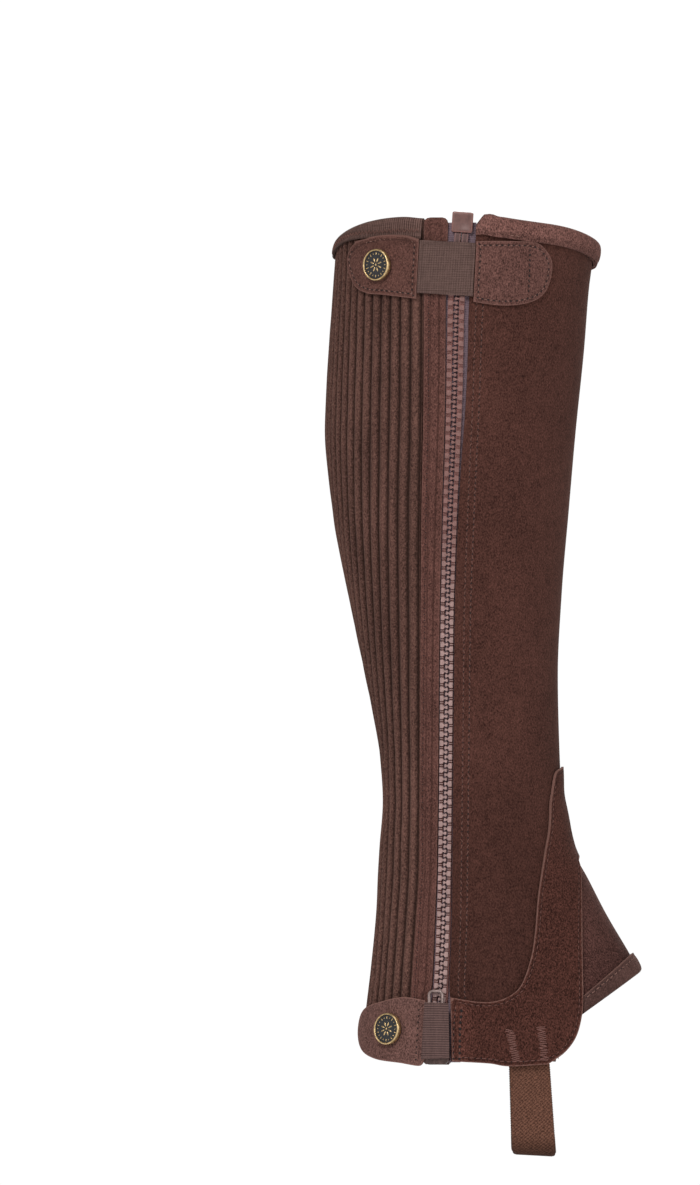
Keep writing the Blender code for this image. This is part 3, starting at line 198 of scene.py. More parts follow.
LEVELS = np.arange(-446.0, 61.0, 0.5)
FORM = [np.array([read(LEG, z, column) for z in LEVELS]) for column in range(1, 5)]


def section(z):
    return [np.interp(z, LEVELS, values) for values in FORM]


def form(angle, z):
    """Points of the leg's form, for arrays of angles and heights."""
    angle, z = np.broadcast_arrays(np.asarray(angle, float), np.asarray(z, float))
    back, widest, front, half = section(z)
    turn = np.radians(angle)
    reach = np.where(np.cos(turn) > 0, widest - back, front - widest)
    return np.stack([widest - reach * np.cos(turn), -half * np.sin(turn), z], axis=-1)


def normals(angle, z):
    across = form(np.asarray(angle) + 0.5, z) - form(np.asarray(angle) - 0.5, z)
    upward = form(angle, np.asarray(z) + 1.0) - form(angle, np.asarray(z) - 1.0)
    found = np.cross(across, upward)
    return found / np.linalg.norm(found, axis=-1, keepdims=True)


# Soft creases of the worn cloth: angle, height, half-lengths round and up, height of the ridge
Crease = namedtuple("Crease", "angle z round_reach up_reach rise slant")
CREASES = [
    Crease(158, -262, 34, 5.0, -0.5, 0.10), Crease(150, -276, 30, 5.5, 0.45, 0.14),
    Crease(204, -258, 34, 5.0, -0.5, -0.10), Crease(212, -273, 30, 5.5, 0.45, -0.14),
    Crease(128, -236, 22, 9.0, 0.35, 0.35), Crease(236, -240, 22, 9.0, 0.35, -0.35),
    Crease(118, -318, 16, 20.0, -0.45, 0.6), Crease(246, -318, 16, 20.0, -0.45, -0.6),
    Crease(150, -120, 16, 60.0, -0.35, 0.2), Crease(214, -128, 16, 60.0, -0.35, -0.2),
    Crease(120, -60, 10, 46.0, 0.3, 0.1), Crease(300, -150, 12, 60.0, 0.3, 0.3),
    Crease(106, -200, 7, 70.0, 0.3, 0.0), Crease(262, -60, 22, 30.0, -0.3, 0.2),
]


def relief(angle, z):
    """How far the worn cloth stands off the smooth form."""
    angle, z = np.broadcast_arrays(np.asarray(angle, float) % 360.0, np.asarray(z, float))
    total = np.zeros(angle.shape)
    for crease in CREASES:
        away = angle - crease.angle
        down = z - crease.z - crease.slant * away
        total += crease.rise * np.exp(-((away / crease.round_reach) ** 2) - (down / crease.up_reach) ** 2)
    return total


def lifted(angle, z, lift):
    lift = np.asarray(lift, float) + relief(angle, z)
    return form(angle, z) + normals(angle, z) * lift[..., None]


def angle_at(x, z, inner=False):
    back, widest, front, _ = section(z)
    reach = widest - back if x < widest else front - widest
    angle = math.degrees(math.acos(min(max((widest - x) / reach, -1.0), 1.0)))
    return 360.0 - angle if inner else angle


@lru_cache(maxsize=None)
def round_table(level):
    angles = np.arange(-180.0, 541.0, 2.0)
    points = form(angles, level * 0.5)
    lengths = run_along(points)
    return angles, lengths - np.interp(0.0, angles, lengths)


def arc(angle, z):
    """Distance round the form from the back, at this height."""
    angles, lengths = round_table(round(z * 2))
    return float(np.interp(angle, angles, lengths))


def angle_of(distance, z):
    angles, lengths = round_table(round(z * 2))
    return float(np.interp(distance, lengths, angles))


def rim_z(angle):
    peak = RIM_PEAK * math.exp(-(((angle - RIM_PEAK_ANGLE) / RIM_PEAK_REACH) ** 2))
    if 0 < angle < 90:
        angle = min(angle * RIM_REAR_SPEED, 90.0)
    sine = math.sin(math.radians(angle))
    return RIM_HEIGHT + (RIM_OUTER_RISE if sine > 0 else RIM_INNER_FALL) * sine + peak


def hem_z(angle):
    return read(HEM, angle - 360.0 if angle > 180 else angle)


def zip_edge(z, side):
    return angle_at(read(ZIP, z, 1) + side * read(ZIP, z, 2), z)


def rib_seam(z):
    return angle_at(read(RIB_SEAM, z), z)


def strip_edge(z, column):
    """The inner strip's front edge (column 1) or rear edge (column 2), as an angle before the back."""
    return -read(INNER_STRIP, z, column)


def inner_seam(z):
    rear, front = strip_edge(z, 2), strip_edge(z, 1)
    return rear + (front - rear) * STRIP_SEAM_SHARE


def seam_turn(z):
    return math.degrees(SEAM_SHARE / section(z)[3])


def spline(points, steps=8, closed=False):
    line = [Vector(p) for p in points]
    if closed:
        ends = [line[-1]] + line + line[:2]
    else:
        ends = [2 * line[0] - line[1]] + line + [2 * line[-1] - line[-2]]
    found = []
    for before, start, end, after in zip(ends, ends[1:], ends[2:], ends[3:]):
        for step in range(steps):
            t = step / steps
            bend = (2 * before - 5 * start + 4 * end - after) * t * t
            twist = (3 * start - before - 3 * end + after) * t * t * t
            found.append(0.5 * (2 * start + (end - before) * t + bend + twist))
    return [tuple(p) for p in found] + ([] if closed else [tuple(line[-1])])


def on_side(points, inner=False):
    return [(angle_at(x, z, inner), z) for x, z in points]


def heights(low, high, step=4.0):
    count = max(1, math.ceil((high - low) / step))
    return [low + (high - low) * i / count for i in range(count + 1)]


def stations(start, end, step=2.5):
    low, high = min(start, end), max(start, end)
    return heights(low, high, step)


def meeting(edge_angle, edge_z):
    z = edge_z(edge_angle(0.0))
    for _ in range(8):
        z = edge_z(edge_angle(z))
    return z


# ---------------------------------------------------------------- paint

class Paint:
    """Builds one procedural material."""

    def __init__(self, name, roughness=0.9, metallic=0.0, specular=0.2, sheen=0.0, sheen_tint=None):
        self.material = bpy.data.materials.new(name)
        self.material.use_nodes = True
        self.tree = self.material.node_tree
        self.shader = self.tree.nodes["Principled BSDF"]
        looks = {"Roughness": roughness, "Metallic": metallic, "Specular IOR Level": specular}
        if sheen:
            looks |= {"Sheen Weight": sheen, "Sheen Roughness": 0.5, "Sheen Tint": (*sheen_tint, 1.0)}
        for socket, value in looks.items():
            self.shader.inputs[socket].default_value = value
        place = self.tree.nodes.new("ShaderNodeTexCoord")
        self.place = self.vector(place.outputs["Object"], (1 / MM,) * 3)
        self.cloth = self.vector(place.outputs["UV"], (1 / MM,) * 3)

    def put(self, socket, value):
        if isinstance(value, bpy.types.NodeSocket):
            self.tree.links.new(value, socket)
        else:
            socket.default_value = value

    def node(self, kind, given, output=0, **settings):
        """Adds a node with these settings and inputs, and returns one of its outputs."""
        node = self.tree.nodes.new("ShaderNode" + kind)
        for name, value in settings.items():
            setattr(node, name, value)
        for socket, value in given.items():
            self.put(node.inputs[socket], value)
        return node.outputs[output]

    def vector(self, value, factor):
        return self.node("VectorMath", {0: value, 1: factor}, operation="MULTIPLY")

    def math(self, operation, first, second=0.0, third=0.0):
        return self.node("Math", {0: first, 1: second, 2: third}, operation=operation)

    def away(self, value, middle):
        """How far a value is from this one, either way."""
        return self.math("ABSOLUTE", self.math("SUBTRACT", value, middle))

    def total(self, *parts):
        """The sum of noises about their middle, each times its weight."""
        value = None
        for source, weight in parts:
            centred = self.math("SUBTRACT", source, 0.5)
            if value is None:
                value = self.math("MULTIPLY", centred, weight)
            else:
                value = self.math("MULTIPLY_ADD", centred, weight, value)
        return value

    def noise(self, scale, detail=2.0, rough=0.6, stretch=None, where=None):
        vector = where or self.place
        if stretch:
            vector = self.vector(vector, stretch)
        given = {"Vector": vector, "Scale": scale, "Detail": detail, "Roughness": rough}
        return self.node("TexNoise", given, "Fac")

    def range(self, value, low, high, to_low=0.0, to_high=1.0, smooth=True):
        given = dict(enumerate((value, low, high, to_low, to_high)))
        return self.node("MapRange", given, interpolation_type="SMOOTHSTEP" if smooth else "LINEAR")

    def mix(self, share, first, second, **settings):
        given = {0: share, 6: first, 7: second}
        given = {key: (*value, 1.0) if isinstance(value, tuple) else value for key, value in given.items()}
        return self.node("Mix", given, 2, data_type="RGBA", **settings)

    def speckle(self, value, low, high, colour, dark, light, smooth=True):
        """From a darker to a lighter shade of the colour as the value goes from low to high."""
        share = self.range(value, low, high, smooth=smooth)
        return self.mix(share, shade(colour, dark), shade(colour, light))

    def tint(self, share, value, factor):
        """The colour darkened or lightened to this factor where share is 1."""
        factor = factor if isinstance(factor, tuple) else (factor,) * 3
        return self.mix(share, value, factor, blend_type="MULTIPLY", clamp_result=False)

    def fade(self, value, axis, start, end, factor):
        """The colour taken to this factor from one place to another along an axis, in millimetres."""
        return self.tint(self.range(self.axis(self.place, axis), start, end), value, factor)

    def attribute(self, name):
        return self.node("Attribute", {}, "Fac", attribute_name=name)

    def axis(self, vector, index):
        return self.node("SeparateXYZ", {0: vector}, index)

    def wave(self, along, pitch):
        """A smooth 0 to 1 wave that repeats each pitch millimetres."""
        turned = self.math("MULTIPLY", along, 2 * math.pi / pitch)
        return self.math("MULTIPLY_ADD", self.math("SINE", turned), 0.5, 0.5)

    def done(self, colour, height, distance, strength=1.0, fall=None):
        """Joins colour and bump to the shader; distance is how many millimetres a height of 1 stands for."""
        self.put(self.shader.inputs["Base Color"], self.fade(colour, *fall) if fall else colour)
        given = {"Strength": strength, "Distance": distance * MM, "Height": height}
        self.put(self.shader.inputs["Normal"], self.node("Bump", given))
        return self.material


EDGE_PALE = (0.17, 0.088, 0.072)
SUEDE_SHEEN, WEAVE_SHEEN = (0.5, 0.3, 0.25), (0.5, 0.35, 0.3)


def shade(colour, factor):
    return tuple(channel * factor for channel in colour)


def suede(name, colour, rows=(), grain=1.0, wear=0.3, cloud=0.7, fall=None, band=None):
    """Napped leather: a speckled nap, brushed clouds, paler cut edges, a furrow along each stitch row
    darkened with painted shade, and the painted light of band on a binding's roll.
    """
    paint = Paint(name, roughness=0.95, specular=0.03, sheen=0.09, sheen_tint=SUEDE_SHEEN)
    fine = paint.noise(1.25, 2.0, 0.6, (1.0, 1.0, 0.8))
    fibres = paint.noise(2.3, 1.0, 0.5, (1.0, 1.0, 0.5))
    mottle = paint.noise(0.22, 2.0, 0.6)
    broad = paint.noise(0.03, 3.0, 0.55, (1.0, 1.0, 0.6))
    value = paint.total((fine, 1.7 * grain), (fibres, 2.0 * grain), (mottle, 0.6), (broad, cloud))
    tone = paint.speckle(value, -0.65, 0.85, colour, 0.36, 1.95, smooth=False)
    if fall:
        tone = paint.fade(tone, *fall)
    edge = paint.attribute("edge")
    # band: the roll of a binding is painted band[2] times lighter where the edge is over band[0] mm away,
    # fading out below band[1] mm, so the stitched strip at its foot stays darker: painted light and shade
    if band:
        uneven = paint.math("MULTIPLY_ADD", mottle, 2.4, -1.2)
        painted_roll_light = paint.range(paint.math("ADD", edge, uneven), band[0], band[1], 1.0, 0.0)
        tone = paint.tint(painted_roll_light, tone, band[2])
    if wear:
        ragged = paint.math("MULTIPLY_ADD", fine, 1.5, -0.75)
        worn = paint.range(paint.math("ADD", edge, ragged), 0.2, 0.6, wear, 0.0)
        tone = paint.mix(worn, tone, EDGE_PALE)
    height = paint.math("MULTIPLY_ADD", fine, 0.6, paint.math("MULTIPLY", fibres, 0.5))
    for row, width in rows:
        furrow = paint.range(paint.away(edge, row), 0.0, width, 1.0, 0.0)
        # painted shade: the colour darkens in each stitch row's furrow
        tone = paint.mix(paint.math("MULTIPLY", furrow, 0.4), tone, shade(colour, 0.45))
        height = paint.math("SUBTRACT", height, paint.math("MULTIPLY", furrow, 1.2))
    return paint.done(tone, height, 0.3, 0.9)


def lining(name, colour):
    """The flesh side inside: flatter and duller."""
    paint = Paint(name, roughness=0.95, specular=0.05)
    value = paint.math("MULTIPLY", paint.noise(0.06), 0.4)
    value = paint.math("MULTIPLY_ADD", paint.noise(0.9, 3.0, 0.7), 0.6, value)
    return paint.done(paint.speckle(value, 0.3, 0.7, colour, 0.75, 1.25), value, 0.15, 0.6)


def knit(name, colour, fall):
    """Ribbed stretch cloth: furry cords, with painted shade darkening the soft valleys between them."""
    paint = Paint(name, roughness=0.95, specular=0.03, sheen=0.09, sheen_tint=WEAVE_SHEEN)
    rib = paint.attribute("rib")
    hair = paint.noise(1.5, 2.0, 0.7, (1.0, 1.0, 0.6))
    fine = paint.noise(1.1, 2.0, 0.7)
    broad = paint.noise(0.05, 2.0, 0.5, (1.0, 1.0, 0.4))
    value = paint.total((hair, 2.2), (fine, 1.9), (broad, 0.9))
    tone = paint.speckle(value, -0.6, 0.8, colour, 0.4, 1.8, smooth=False)
    # painted shade: where rib is low, in the valleys between the cords, the colour darkens towards a fifth of
    # itself
    ragged = paint.math("ADD", rib, paint.math("MULTIPLY_ADD", hair, 0.9, -0.45))
    tone = paint.mix(paint.range(ragged, 0.1, 1.05, 0.85, 0.0), tone, shade(colour, 0.2))
    return paint.done(tone, paint.math("MULTIPLY_ADD", hair, 0.6, fine), 0.35, 0.9, fall)


def woven(
    name, colour, warp, weft, share=0.35, fleck=0.35, depth=0.3, bump=0.14, streak=0.0, borders=(), fall=None
):
    """Elastic or tape: threads both ways (share is the warp's), loose streaks and darker border lines."""
    paint = Paint(name, roughness=0.9, specular=0.04, sheen=0.03, sheen_tint=WEAVE_SHEEN)
    across, up = paint.axis(paint.cloth, 0), paint.axis(paint.cloth, 1)
    threads = paint.math("MULTIPLY", paint.wave(across, warp), share)
    threads = paint.math("MULTIPLY_ADD", paint.wave(up, weft), 1 - share, threads)
    fine = paint.noise(1.6, 2.0)
    value = paint.math("MULTIPLY_ADD", fine, fleck, paint.math("MULTIPLY", threads, 1 - fleck))
    if streak:
        level = paint.noise(1.1, 1.0, 0.5, (0.12, 1.3, 1.0), paint.cloth)
        upright = paint.noise(1.1, 1.0, 0.5, (1.3, 0.12, 1.0), paint.cloth)
        loose = paint.math("SUBTRACT", paint.math("ADD", level, upright), 1.0)
        value = paint.math("MULTIPLY_ADD", loose, streak, value)
    tone = paint.speckle(value, 0.15, 0.85, colour, 1 - depth, 1 + depth)
    edge = paint.attribute("edge")
    for place, width, dark in borders:
        line = paint.range(paint.away(edge, place), 0.0, width, dark, 0.0)
        tone = paint.mix(line, tone, shade(colour, 0.4))
    return paint.done(tone, threads, bump, 0.8, fall)


def pebbled(name, colour, fall):
    """Thick twill of the foot strap: short bumps that lean one way, and painted shade darkening the turn
    under the foot.
    """
    paint = Paint(name, roughness=0.9, specular=0.04, sheen=0.03, sheen_tint=WEAVE_SHEEN)
    across, up = paint.axis(paint.cloth, 0), paint.axis(paint.cloth, 1)
    jitter = paint.math("MULTIPLY", paint.noise(0.7, 2.0, 0.6), 3.2)
    twill, cross = (
        paint.wave(paint.math("ADD", paint.math(way, across, up), jitter), pitch)
        for way, pitch in (("ADD", 1.6), ("SUBTRACT", 2.1))
    )
    bumps = paint.math("MULTIPLY_ADD", twill, 0.6, paint.math("MULTIPLY", cross, 0.4))
    value = paint.math("MULTIPLY_ADD", paint.noise(1.4, 2.0), 0.55, paint.math("MULTIPLY", bumps, 0.45))
    return paint.done(paint.speckle(value, 0.2, 0.8, colour, 0.45, 1.55), bumps, 0.25, 0.9, fall)


def plastic(name, colour, roughness=0.45, fall=None, border=None):
    """Moulded plastic; border gives the half width and half height at which its edges are painted lighter: a
    painted highlight along the rounded edges.
    """
    paint = Paint(name, roughness=roughness, specular=0.35)
    tone = paint.speckle(paint.noise(0.5, 2.0), 0.3, 0.7, colour, 0.85, 1.12)
    if border:
        sides = []
        for axis, half in enumerate(border):
            away = paint.math("ABSOLUTE", paint.axis(paint.place, axis))
            sides.append(paint.range(away, half - 0.9, half - 0.35))
        # painted highlight: the colour is lifted 1.8 times towards each edge given by border
        tone = paint.tint(paint.math("MAXIMUM", *sides), tone, 1.8)
    return paint.done(tone, paint.noise(1.5, 2.0), 0.03, 0.5, fall)


def metal(name, colour, roughness=0.38, metallic=0.8, grime=0.4):
    paint = Paint(name, roughness=roughness, metallic=metallic, specular=0.5)
    tone = paint.speckle(paint.noise(0.6, 4.0, 0.65), 0.35, 0.7, colour, 1 - grime, 1.15)
    return paint.done(tone, paint.noise(2.5, 2.0), 0.03, 0.5)


def thread(name, colour):
    paint = Paint(name, roughness=0.9, specular=0.06)
    twist = paint.noise(2.6, 1.0)
    return paint.done(paint.speckle(twist, 0.3, 0.7, colour, 0.7, 1.25), twist, 0.06, 0.6)


LOW = (2, -215.0, -290.0, 0.80)
PAINTS = {}
for maker, paints in {
    suede: {
        "suede_body": dict(colour=(0.049, 0.0201, 0.0154), wear=0.0, fall=LOW),
        "suede_strip": dict(colour=(0.075, 0.033, 0.027), rows=[(3.2, 0.7)], wear=0.2, grain=1.1),
        "suede_overlay": dict(
            colour=(0.044, 0.0168, 0.0127), rows=[(1.7, 0.8)], wear=0.7, grain=1.5, fall=(0, 9.0, 0.0, 1.45),
        ),
        "suede_patch": dict(colour=(0.082, 0.033, 0.026), rows=[(2.6, 0.9), (4.6, 0.9)], wear=0.5),
        "suede_inner_strip": dict(colour=(0.054, 0.023, 0.018), rows=[(2.0, 0.8), (4.0, 0.8)]),
        "suede_tab": dict(colour=(0.079, 0.037, 0.031), rows=[(2.0, 0.8)], wear=0.35, grain=1.15),
        "suede_tab_end": dict(colour=(0.071, 0.0325, 0.0265), rows=[(2.0, 0.8)], wear=0.45),
        "suede_tab_low": dict(colour=(0.093, 0.047, 0.04), wear=0.8, grain=1.2),
        # band paints the rim's roll 1.35 times lighter than the stitched strip along its foot: painted light
        # and shade
        "suede_rim": dict(colour=(0.076, 0.0355, 0.0298), wear=0.0, grain=1.5, band=(3.4, 1.9, 1.35)),
        "suede_hem": dict(colour=(0.082, 0.038, 0.03), wear=0.2, grain=1.1),
        "suede_dark": dict(colour=(0.032, 0.0108, 0.0083), rows=[(1.7, 0.8)], grain=0.8, cloud=1.2),
        "gusset": dict(colour=(0.05, 0.0222, 0.0188), wear=0.0, grain=1.35, cloud=1.1),
        "gusset_binding": dict(
            colour=(0.053, 0.0275, 0.0235), wear=0.5, grain=0.8, fall=(0, 72.0, 86.0, 1.35),
        ),
    },
    lining: {"lining": dict(colour=(0.035, 0.014, 0.011))},
    knit: {"rib": dict(colour=(0.077, 0.038, 0.03), fall=(2, -200.0, -300.0, 1.18))},
    woven: {
        "elastic_top": dict(
            colour=(0.074, 0.045, 0.039), warp=1.15, weft=1.15, share=0.5, fleck=0.5, depth=0.32, streak=0.5,
            borders=[(1.5, 0.4, 0.4)],
        ),
        "elastic_bottom": dict(
            colour=(0.078, 0.047, 0.043), warp=5.0, weft=1.15, share=0.1, depth=0.38, bump=0.2, streak=0.4,
        ),
        "elastic_rim": dict(
            colour=(0.08, 0.046, 0.039), warp=1.15, weft=9.0, share=0.85, fleck=0.5, depth=0.5, bump=0.25,
            streak=0.6, borders=[(0.0, 1.6, 0.6), (3.2, 1.3, 0.45)],
        ),
        "tape": dict(colour=(0.14, 0.098, 0.115), warp=0.9, weft=0.9, fleck=0.4),
        # the bead darkens to 0.6 of its colour from z -115 down to z -190: painted shade in the gaps between
        # the lower teeth
        "bead": dict(
            colour=(0.2, 0.09, 0.08), warp=0.6, weft=1.1, fleck=0.4, depth=0.5, fall=(2, -115.0, -190.0, 0.6),
        ),
    },
    # the strap darkens to 0.45 of its colour towards its bottom: painted shade where it turns under the foot
    pebbled: {"strap": dict(colour=(0.09, 0.041, 0.0275), fall=(2, -424.0, -437.0, 0.45))},
    plastic: {
        "teeth": dict(colour=(0.248, 0.157, 0.145), fall=(2, -190.0, -115.0, (0.588, 0.432, 0.408))),
        # the box's and pins' border paints a highlight along their rounded edges
        "box": dict(colour=(0.097, 0.044, 0.0375), roughness=0.5, border=(BOX_WIDTH / 2, BOX_HEIGHT / 2)),
        "pin": dict(colour=(0.07, 0.033, 0.03), roughness=0.5, border=(PIN_WIDTH / 2, 20.0)),
        # hole: near black, painted shade in the needle holes
        "hole": dict(colour=(0.008, 0.004, 0.0035), roughness=0.9),
    },
    metal: {
        "slider": dict(colour=(0.105, 0.062, 0.055), roughness=0.42, metallic=0.5),
        "pull": dict(colour=(0.25, 0.18, 0.165), roughness=0.4, metallic=0.5),
        "brass": dict(colour=(0.62, 0.44, 0.22), roughness=0.34, metallic=0.95),
        "stud_face": dict(colour=(0.017, 0.017, 0.019), roughness=0.55, metallic=0.3, grime=0.2),
    },
    thread: {
        "thread": dict(colour=(0.11, 0.054, 0.044)),
        "thread_light": dict(colour=(0.165, 0.09, 0.074)),
        "thread_red": dict(colour=(0.13, 0.062, 0.052)),
        "thread_dark": dict(colour=(0.05, 0.022, 0.0175)),
        "thread_strap": dict(colour=(0.085, 0.043, 0.03)),
    },
}.items():
    for name, looks in paints.items():
        PAINTS[name] = maker(name, **looks)


# ---------------------------------------------------------------- cloth

def finish_piece(piece, node, body="chap"):
    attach(piece, body)
    if node:
        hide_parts(node)
    return piece


def outward(mesh):
    """Turns a closed mesh's faces outward, and gives its area."""
    solid = bmesh.new()
    solid.from_mesh(mesh)
    bmesh.ops.recalc_face_normals(solid, faces=solid.faces[:])
    area = sum(face.calc_area() for face in solid.faces)
    solid.to_mesh(mesh)
    solid.free()
    return area


def new_piece(name, mesh, *paints):
    piece = bpy.data.objects.new(name, mesh)
    bpy.context.scene.collection.objects.link(piece)
    for paint in paints:
        mesh.materials.append(PAINTS[paint])
    return piece


def run_along(points):
    """The distance run at each point of a line."""
    return np.concatenate([[0.0], np.cumsum(np.linalg.norm(np.diff(points, axis=0), axis=1))])


def put_values(mesh, name, values):
    mesh.attributes.new(name, "FLOAT", "POINT").data.foreach_set("value", values)


def put_uv(mesh, places):
    """Lays the mesh out flat by the place of each of its vertices, in millimetres."""
    corners = np.array([loop.vertex_index for loop in mesh.loops])
    mesh.uv_layers.new(name="UVMap").data.foreach_set("uv", (places[corners] * MM).ravel())


def ring_faces(rings, count, start=0, turned=False):
    """The four-sided faces between rings of points."""
    faces = []
    for ring in range(rings - 1):
        for i in range(count):
            a, b, j = start + ring * count, start + (ring + 1) * count, (i + 1) % count
            face = (a + i, b + i, b + j, a + j)
            faces.append((a + i, a + j, b + j, b + i) if turned else face)
    return faces


def cap(start, count, turned=False):
    ring = tuple(range(start, start + count))
    return ring[::-1] if turned else ring


def circle(sides):
    """The cosine and sine at each corner of a circle."""
    turns = [2 * math.pi * i / sides for i in range(sides)]
    return [(math.cos(turn), math.sin(turn)) for turn in turns]


def mesh_from(name, points, faces, materials=None, smooth=True):
    mesh = bpy.data.meshes.new(name)
    mesh.from_pydata((np.asarray(points, float) * MM).tolist(), [], faces)
    if materials is not None:
        mesh.polygons.foreach_set("material_index", materials)
    if smooth:
        mesh.shade_smooth()
    mesh.update()
    return mesh


def cut_pattern(outline, across, along):
    flat = bmesh.new()
    flat.faces.new([flat.verts.new((u, v, 0.0)) for u, v in outline])
    for places, direction in ((across, Vector((1, 0, 0))), (along, Vector((0, 1, 0)))):
        for place in places:
            geometry = flat.verts[:] + flat.edges[:] + flat.faces[:]
            bmesh.ops.bisect_plane(
                flat, geom=geometry, dist=0.02, plane_co=direction * place, plane_no=direction
            )
    return flat


def lines(values, step):
    low, high = min(values), max(values)
    return [i * step for i in range(math.ceil(low / step), math.floor(high / step) + 1)]


def middle_of(outline):
    """The angle that a pattern's distances are measured from."""
    angles = [a for a, _ in outline]
    return (min(angles) + max(angles)) / 2


def laid_out(outline, about):
    """The outline as distances: round the form from the angle about, against height."""
    return np.array([(arc(a, z) - arc(about, z), z) for a, z in outline])


def taken_up(places, about):
    return [(angle_of(u + arc(about, z), z), z) for u, z in places]


def edge_distance(places, border):
    """Distance in millimetres from each place to the nearest point of the border, both in distances."""
    closed = np.vstack([border, border[:1]])
    start, step = closed[:-1], np.diff(closed, axis=0)
    size = np.maximum((step ** 2).sum(axis=1), 1e-9)
    best = np.full(len(places), 99.0)
    for a, d, s in zip(start, step, size):
        along = np.clip(((places - a) @ d) / s, 0.0, 1.0)
        best = np.minimum(best, np.linalg.norm(places - a - along[:, None] * d, axis=1))
    return best


def shell(
    name, node, outline, lift, thick, paint, inside=None, raise_by=None, du=2.5, dv=4.0, bevel=0.4
):
    """A wall of cloth on the leg's form; thick is outward, or inward if negative."""
    flat = cut_pattern(outline, lines([u for u, _ in outline], du), lines([v for _, v in outline], dv))
    angles = np.array([vert.co.x for vert in flat.verts])
    levels = np.array([vert.co.y for vert in flat.verts])
    lifts = np.full(len(angles), float(lift))
    if raise_by:
        lifts += np.array([raise_by(a, z) for a, z in zip(angles, levels)])
    placed = lifted(angles, levels, lifts)
    about = middle_of(outline)
    pattern = laid_out(outline, about)
    cloth_places = laid_out(zip(angles, levels), about)
    edges = edge_distance(cloth_places, pattern)
    outs = normals(angles, levels)
    for vert, place in zip(flat.verts, placed):
        vert.co = Vector(place) * MM
    flat.verts.index_update()
    flat.normal_update()
    facing = sum(
        face.calc_area() * face.normal.dot(Vector(outs[face.verts[0].index])) for face in flat.faces
    )
    if facing < 0:
        bmesh.ops.reverse_faces(flat, faces=flat.faces[:])
    area = sum(face.calc_area() for face in flat.faces)
    uv = flat.loops.layers.uv.new("UVMap")
    for face in flat.faces:
        for loop in face.loops:
            loop[uv].uv = Vector(cloth_places[loop.vert.index]) * MM
    mesh = bpy.data.meshes.new(name)
    flat.to_mesh(mesh)
    flat.free()
    put_values(mesh, "edge", edges)
    mesh.shade_smooth()
    piece = new_piece(name, mesh, *([paint, inside] if inside else [paint]))
    wall = piece.modifiers.new("wall", "SOLIDIFY")
    wall.thickness = abs(thick) * MM
    wall.offset = 1.0 if thick > 0 else -1.0
    if inside:
        wall.material_offset = 1
        wall.material_offset_rim = 0
    if bevel:
        rounding = piece.modifiers.new("cut_edge", "BEVEL")
        rounding.width = bevel * MM
        rounding.segments = 2
        rounding.limit_method = "ANGLE"
        rounding.angle_limit = math.radians(60)
        rounding.harden_normals = False
    size = np.ptp(pattern, axis=0) * MM
    piece["cut"] = [float(size[0]), float(size[1]), area]
    return finish_piece(piece, node)


def state_sheet(piece, rests_on, with_pieces=()):
    width, length, area = piece["cut"]
    del piece["cut"]
    area = min(max(area, 0.301 * width * length), width * length)
    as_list(rests_on)


# ---------------------------------------------------------------- sewing

def capsule(length, radius, sides=6):
    """A stitch along X, thicker in its middle."""
    profile = [(-0.5, 0.25), (-0.42, 0.75), (-0.15, 1.0), (0.15, 1.0), (0.42, 0.75), (0.5, 0.25)]
    points = [
        (along * length, width * radius * x, width * radius * y)
        for along, width in profile for x, y in circle(sides)
    ]
    faces = ring_faces(len(profile), sides) + [cap(0, sides, True), cap(len(points) - sides, sides)]
    return np.array(points), faces


def dot(radius, height, sides=8):
    """A shallow round disc at a needle hole; its near-black paint is painted shade in the hole."""
    points = [(radius * x, radius * y, 0.0) for x, y in circle(sides)]
    points += [(x * 0.6, y * 0.6, height) for x, y, _ in points]
    return np.array(points), ring_faces(2, sides, turned=True) + [cap(sides, sides), cap(0, sides, True)]


